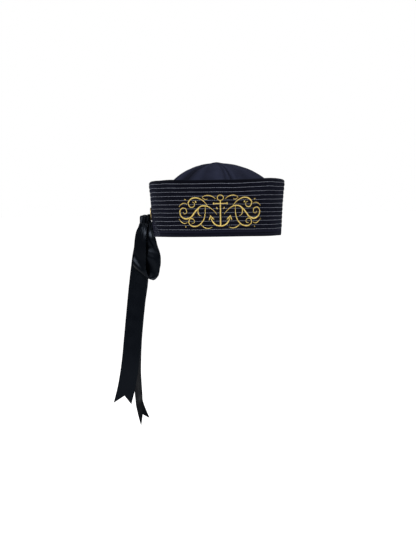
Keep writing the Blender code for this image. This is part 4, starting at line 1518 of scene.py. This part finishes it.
def ribbon_surface(sections, wanted, across, folds, drift, seed):
    """Middle of the ribbon's thickness, for distances along it and places across it."""
    distances = section_distances(sections)
    here = sections_at(sections, distances, wanted)
    ahead = sections_at(sections, distances, np.clip(wanted + 0.5, 0, distances[-1]))
    behind = sections_at(sections, distances, np.clip(wanted - 0.5, 0, distances[-1]))
    forward = (ahead - behind)[..., :3]
    yaw, dip = np.radians(here[..., 4]), np.radians(here[..., 5])
    width = np.stack((np.sin(yaw) * np.cos(dip), -np.cos(yaw) * np.cos(dip), -np.sin(dip)), axis=-1)
    normal = np.cross(width, forward)
    normal /= np.linalg.norm(normal, axis=-1)[..., None]
    share = wanted / distances[-1]
    gather = here[..., 6]
    pleats = np.cos(6 * math.pi * (across + 0.5)) + 0.35 * np.cos(14 * math.pi * across + 0.8)
    height = gather * pleats
    for fold in folds:
        height = height + fold_height(fold, wanted, across, distances[-1])
    held = between(share, 0.02, 0.16)
    height = height + drift * held * ripples(seed, 7, 16, 42)(across * RIBBON_WIDTH, wanted)
    middle = here[..., :3] + width * (here[..., 3] * across)[..., None] + normal * height[..., None]
    return middle * MM


def surface_normals(grid):
    """Normals of a grid of points, from its own shape."""
    along = np.gradient(grid, axis=0)
    across = np.gradient(grid, axis=1)
    normal = np.cross(across, along)
    return normal / np.linalg.norm(normal, axis=-1)[..., None]


def sheet_of_ribbon(name, middle, uv, thickness):
    """A closed sheet round a grid of points, with rounded selvedges."""
    rows, columns = middle.shape[:2]
    normal = surface_normals(middle)
    points = [middle + normal * thickness / 2, middle - normal * thickness / 2]
    skin = lattice(rows, columns)
    numbers = np.arange(rows * columns).reshape(rows, columns)
    rim = np.concatenate(
        (numbers[0], numbers[1:, -1], numbers[-1, -2::-1], numbers[-2:0:-1, 0])
    )
    under = rows * columns
    faces = np.concatenate((skin, skin + under, hoop(rim, rim + under)))
    flat = np.concatenate([uv.reshape(-1, 2)] * 2)
    points = np.concatenate([layer.reshape(-1, 3) for layer in points])
    return made_piece(name, points, faces, ribbon_satin, uv=flat)


def make_ribbon(name, sections, rows, folds, drift, seed, cut=STRAIGHT_END):
    """A length of ribbon along its sections, cut to a swallow tail at its end."""
    distances = section_distances(sections)
    across = np.linspace(-0.5, 0.5, RIBBON_STRIPS + 1)
    notch = cut.notch * (1 - np.abs(2 * across)) + cut.skew * (across + 0.5)
    length = distances[-1] - np.maximum(notch, 0) / MM
    share = np.linspace(0, 1, rows + 1)
    wanted = share[:, None] * length[None, :]
    across_all = np.broadcast_to(across, wanted.shape)
    middle = ribbon_surface(sections, wanted, across_all, folds, drift, seed)
    flat = stacked(across * RIBBON_WIDTH * MM, wanted * MM)
    ribbon = sheet_of_ribbon(name, middle, flat, RIBBON_THICKNESS)
    return ribbon, distances[-1] * MM


def mirrored(sections, drop, shrink):
    """The same loop on the other side of the knot, hanging a little differently."""
    middle_y, middle_z = KNOT_CENTRE[1] / MM, KNOT_CENTRE[2] / MM
    return tuple(
        s._replace(
            y=2 * middle_y - s.y,
            z=middle_z + (s.z - middle_z) * shrink,
            yaw=180 - s.yaw,
            dip=s.dip * drop,
        )
        for s in sections
    )


# The rear loop's sections are mirrored, so its folds need the other sign to stand out the same way
REAR_LOOP_FOLDS = tuple(fold._replace(height=-0.6 * fold.height) for fold in LOOP_FOLDS)

LOOPS = (
    ("bow_loop_front", "front_loop_satin", LOOP_SECTIONS, LOOP_FOLDS, 31),
    ("bow_loop_rear", "rear_loop_satin", mirrored(LOOP_SECTIONS, 0.6, 0.94), REAR_LOOP_FOLDS, 32),
)
for node, name, sections, folds, seed in LOOPS:
    loop, length = make_ribbon(name, sections, LOOP_ROWS, folds, LOOP_DRIFT, seed)
    dressed(loop, "ribbon_satin", node)

TAILS = (
    ("ribbon_tail_front", "front_tail_satin", FRONT_TAIL_SECTIONS, FRONT_TAIL_CUT, 33),
    ("ribbon_tail_rear", "rear_tail_satin", REAR_TAIL_SECTIONS, REAR_TAIL_CUT, 34),
)
for node, name, sections, cut, seed in TAILS:
    tail, length = make_ribbon(name, sections, TAIL_ROWS, TAIL_FOLDS, TAIL_DRIFT, seed, cut)
    dressed(tail, "ribbon_satin", node)


# A groove between two turns of the knot, in shares of its half sizes
Groove = namedtuple("Groove", "across slant breadth depth")
KNOT_GROOVES = (
    Groove(0.32, 0.10, 0.13, 0.20),
    Groove(-0.42, -0.12, 0.16, 0.09),
    Groove(-0.05, 0.2, 0.1, 0.05),
)
KNOT_RISE = 0.17  # how steeply the knot's top rises towards the brim
KNOT_TWIST = 0.45  # how far its left half faces up and its right half down
KNOT_LEAN = 0.12  # how far its front turns to the left
KNOT_UV_RADIUS = 7  # millimetres, for the cloth's coordinates round the knot


def make_knot():
    """The knot: ribbon wound tightly round the bow's middle, with grooves between its turns."""
    rings, sides = 64, 96
    polar = np.linspace(0.03, math.pi - 0.03, rings)
    turn = np.arange(sides) * 2 * math.pi / sides
    y = np.broadcast_to(np.cos(polar)[:, None], (rings, sides))
    x = np.sin(polar)[:, None] * np.cos(turn)
    z = np.sin(polar)[:, None] * np.sin(turn)
    size = sum(np.abs(side) ** KNOT_SQUARENESS for side in (x, y, z)) ** (1 / KNOT_SQUARENESS)
    x, y, z = x / size, y / size, z / size
    grow = 1 + 0.03 * np.cos(5 * y + 2 * x)
    for groove in KNOT_GROOVES:
        off = x - groove.across - groove.slant * z
        grow = grow - groove.depth * bell(off, groove.breadth)
    front = grow + KNOT_TWIST * x * z + KNOT_LEAN * x
    points = np.stack((x * KNOT_HALF[0], y * front * KNOT_HALF[1], z * grow * KNOT_HALF[2]), axis=-1)
    points[..., 2] += KNOT_RISE * points[..., 0]
    tips = np.array(((0, KNOT_HALF[1], 0), (0, -KNOT_HALF[1], 0)))
    places = np.concatenate((points.reshape(-1, 3), tips)) + KNOT_CENTRE
    faces = [*lattice(rings, sides, closed=True)]
    for ring, tip in ((0, rings * sides), (rings - 1, rings * sides + 1)):
        faces.extend(fan(ring * sides + np.arange(sides), tip))
    uv = stacked(y * KNOT_HALF[1], turn * KNOT_UV_RADIUS * MM).reshape(-1, 2)
    uv = np.concatenate((uv, ((KNOT_HALF[1], 0), (-KNOT_HALF[1], 0))))
    return made_piece("knot_satin", places, faces, ribbon_satin, uv=uv)


LACE_ROWS = 260
LACE_COLUMNS = 49
LACE_SMOOTHINGS = 5  # how often its way is averaged, so that it turns softly at the eyelets
LACE_LAYER = 0.30 * MM  # what each layer of the folded lace takes up, without its slack
LACE_SLACK = 1.15
LACE_THICKNESS = 0.2 * MM


def make_lace():
    """The ribbon through both eyelets, folded in three so that it fits them."""
    stops = np.array([tuple(stop) for stop in LACE_STOPS])
    centres = around(stops[:, 0], stops[:, 1] * MM, stops[:, 2] * MM)
    run = run_along(centres)
    fine = np.linspace(0, run[-1], LACE_ROWS)
    centre = np.stack([np.interp(fine, run, centres[:, axis]) for axis in range(3)], axis=-1)
    half = np.interp(fine, run, stops[:, 3]) * MM
    for _ in range(LACE_SMOOTHINGS):
        centre[1:-1] = (centre[:-2] + 2 * centre[1:-1] + centre[2:]) / 4
    forward = np.gradient(centre, axis=0)
    forward[:, 2] = 0
    forward /= np.linalg.norm(forward, axis=1)[:, None]
    sideways = np.stack((-forward[:, 1], forward[:, 0], np.zeros(len(forward))), axis=-1)
    fold = np.linspace(0, 3, LACE_COLUMNS)
    layer = np.floor(np.minimum(fold, 2.999))
    share = fold - layer
    height = np.where(layer % 2 == 0, 2 * share - 1, 1 - 2 * share)
    depth = (fold - 1.5) * LACE_LAYER * LACE_SLACK
    middle = (
        centre[:, None, :]
        + sideways[:, None, :] * depth[None, :, None]
        + np.array((0, 0, 1.0)) * (half[:, None] * height[None, :])[..., None]
    )
    flat = stacked((fold / 3 - 0.5)[None, :] * RIBBON_WIDTH * MM, fine[:, None])
    return sheet_of_ribbon("lace_satin", middle, flat, LACE_THICKNESS), run[-1]


dressed(make_knot(), "ribbon_satin", "bow_knot")
lace, lace_length = make_lace()
dressed(lace, "ribbon_satin", "lace")


# ------------------------------------------------------------------ studio

# The camera looks at the front from a little above and is turned by the photograph's own tilt
CAMERA_PLACE = Vector((-0.0150, -4.5, 0.081))
CAMERA_TARGET = Vector((-0.0150, 0, -0.0625))
CAMERA_LENS = 194.6
CAMERA_TILT = math.radians(-0.85)
FLOOR_HEIGHT = -0.30
ROOM_GLOW = 0.08  # how strongly the floor and the sky light the cap

# Each soft light's place, the point that it faces, its width, its height and its power
SOFTBOXES = {
    "key": ((-1.5, -1.8, 2.0), (0, 0, 0), 1.1, 1.1, 81),
    "fill": ((2.2, -1.3, 0.5), (0, 0, 0), 0.9, 1.6, 37),
    "top": ((0.1, 0.0, 2.2), (0, 0, 0.05), 1.1, 1.1, 18),
}


def aimed(place, target):
    """The place of something that faces a target."""
    turn = (Vector(target) - Vector(place)).to_track_quat("-Z", "Y").to_matrix().to_4x4()
    return Matrix.Translation(place) @ turn


def make_camera():
    """The camera, as far away and turned as the photograph's."""
    camera = in_scene("camera", bpy.data.cameras.new("camera"))
    camera.data.sensor_width = 36
    camera.data.lens = CAMERA_LENS
    camera.data.clip_end = 50
    camera.matrix_world = aimed(CAMERA_PLACE, CAMERA_TARGET) @ Matrix.Rotation(CAMERA_TILT, 4, "Z")
    bpy.context.scene.camera = camera


def make_softbox(name, place, target, width, height, power):
    """A large soft light that isn't itself seen."""
    light = bpy.data.lights.new(name, "AREA")
    light.shape = "RECTANGLE"
    light.size, light.size_y = width, height
    light.energy = power
    box = in_scene(name, light)
    box.matrix_world = aimed(place, target)
    box.visible_camera = False


def glow_of(tree):
    """A strength that looks white to the camera and lights the cap only a little."""
    seen = put(tree, "ShaderNodeLightPath", (-3, 0)).outputs["Is Camera Ray"]
    return ranged(tree, (-2, 0), seen, 0, 1, ROOM_GLOW, 1.0)


def make_floor():
    """A plain pale floor that reads as white, as the photograph's background does."""
    mesh = bpy.data.meshes.new("floor")
    corners = [(x * 30, y * 30, FLOOR_HEIGHT) for x, y in ((-1, -1), (1, -1), (1, 1), (-1, 1))]
    mesh.from_pydata(corners, [], [(0, 1, 2, 3)])
    settings = {"Base Color": (0.6, 0.6, 0.6), "Roughness": 0.9, "Emission Color": (1, 1, 1)}
    material, tree, shader = new_material("pale_floor", settings)
    fed(tree, shader.inputs["Emission Strength"], glow_of(tree))
    mesh.materials.append(material)
    floor = in_scene("floor", mesh)


def make_sky():
    """White behind the cap, and a dimmer even light from all round it."""
    world = bpy.data.worlds.new("studio")
    bpy.context.scene.world = world
    world.use_nodes = True
    background = world.node_tree.nodes["Background"]
    background.inputs["Color"].default_value = (1, 1, 1, 1)
    fed(world.node_tree, background.inputs["Strength"], glow_of(world.node_tree))


make_camera()
make_floor()
make_sky()
for name, setting in SOFTBOXES.items():
    make_softbox(name, *setting)
bpy.context.scene.view_settings.view_transform = "Standard"
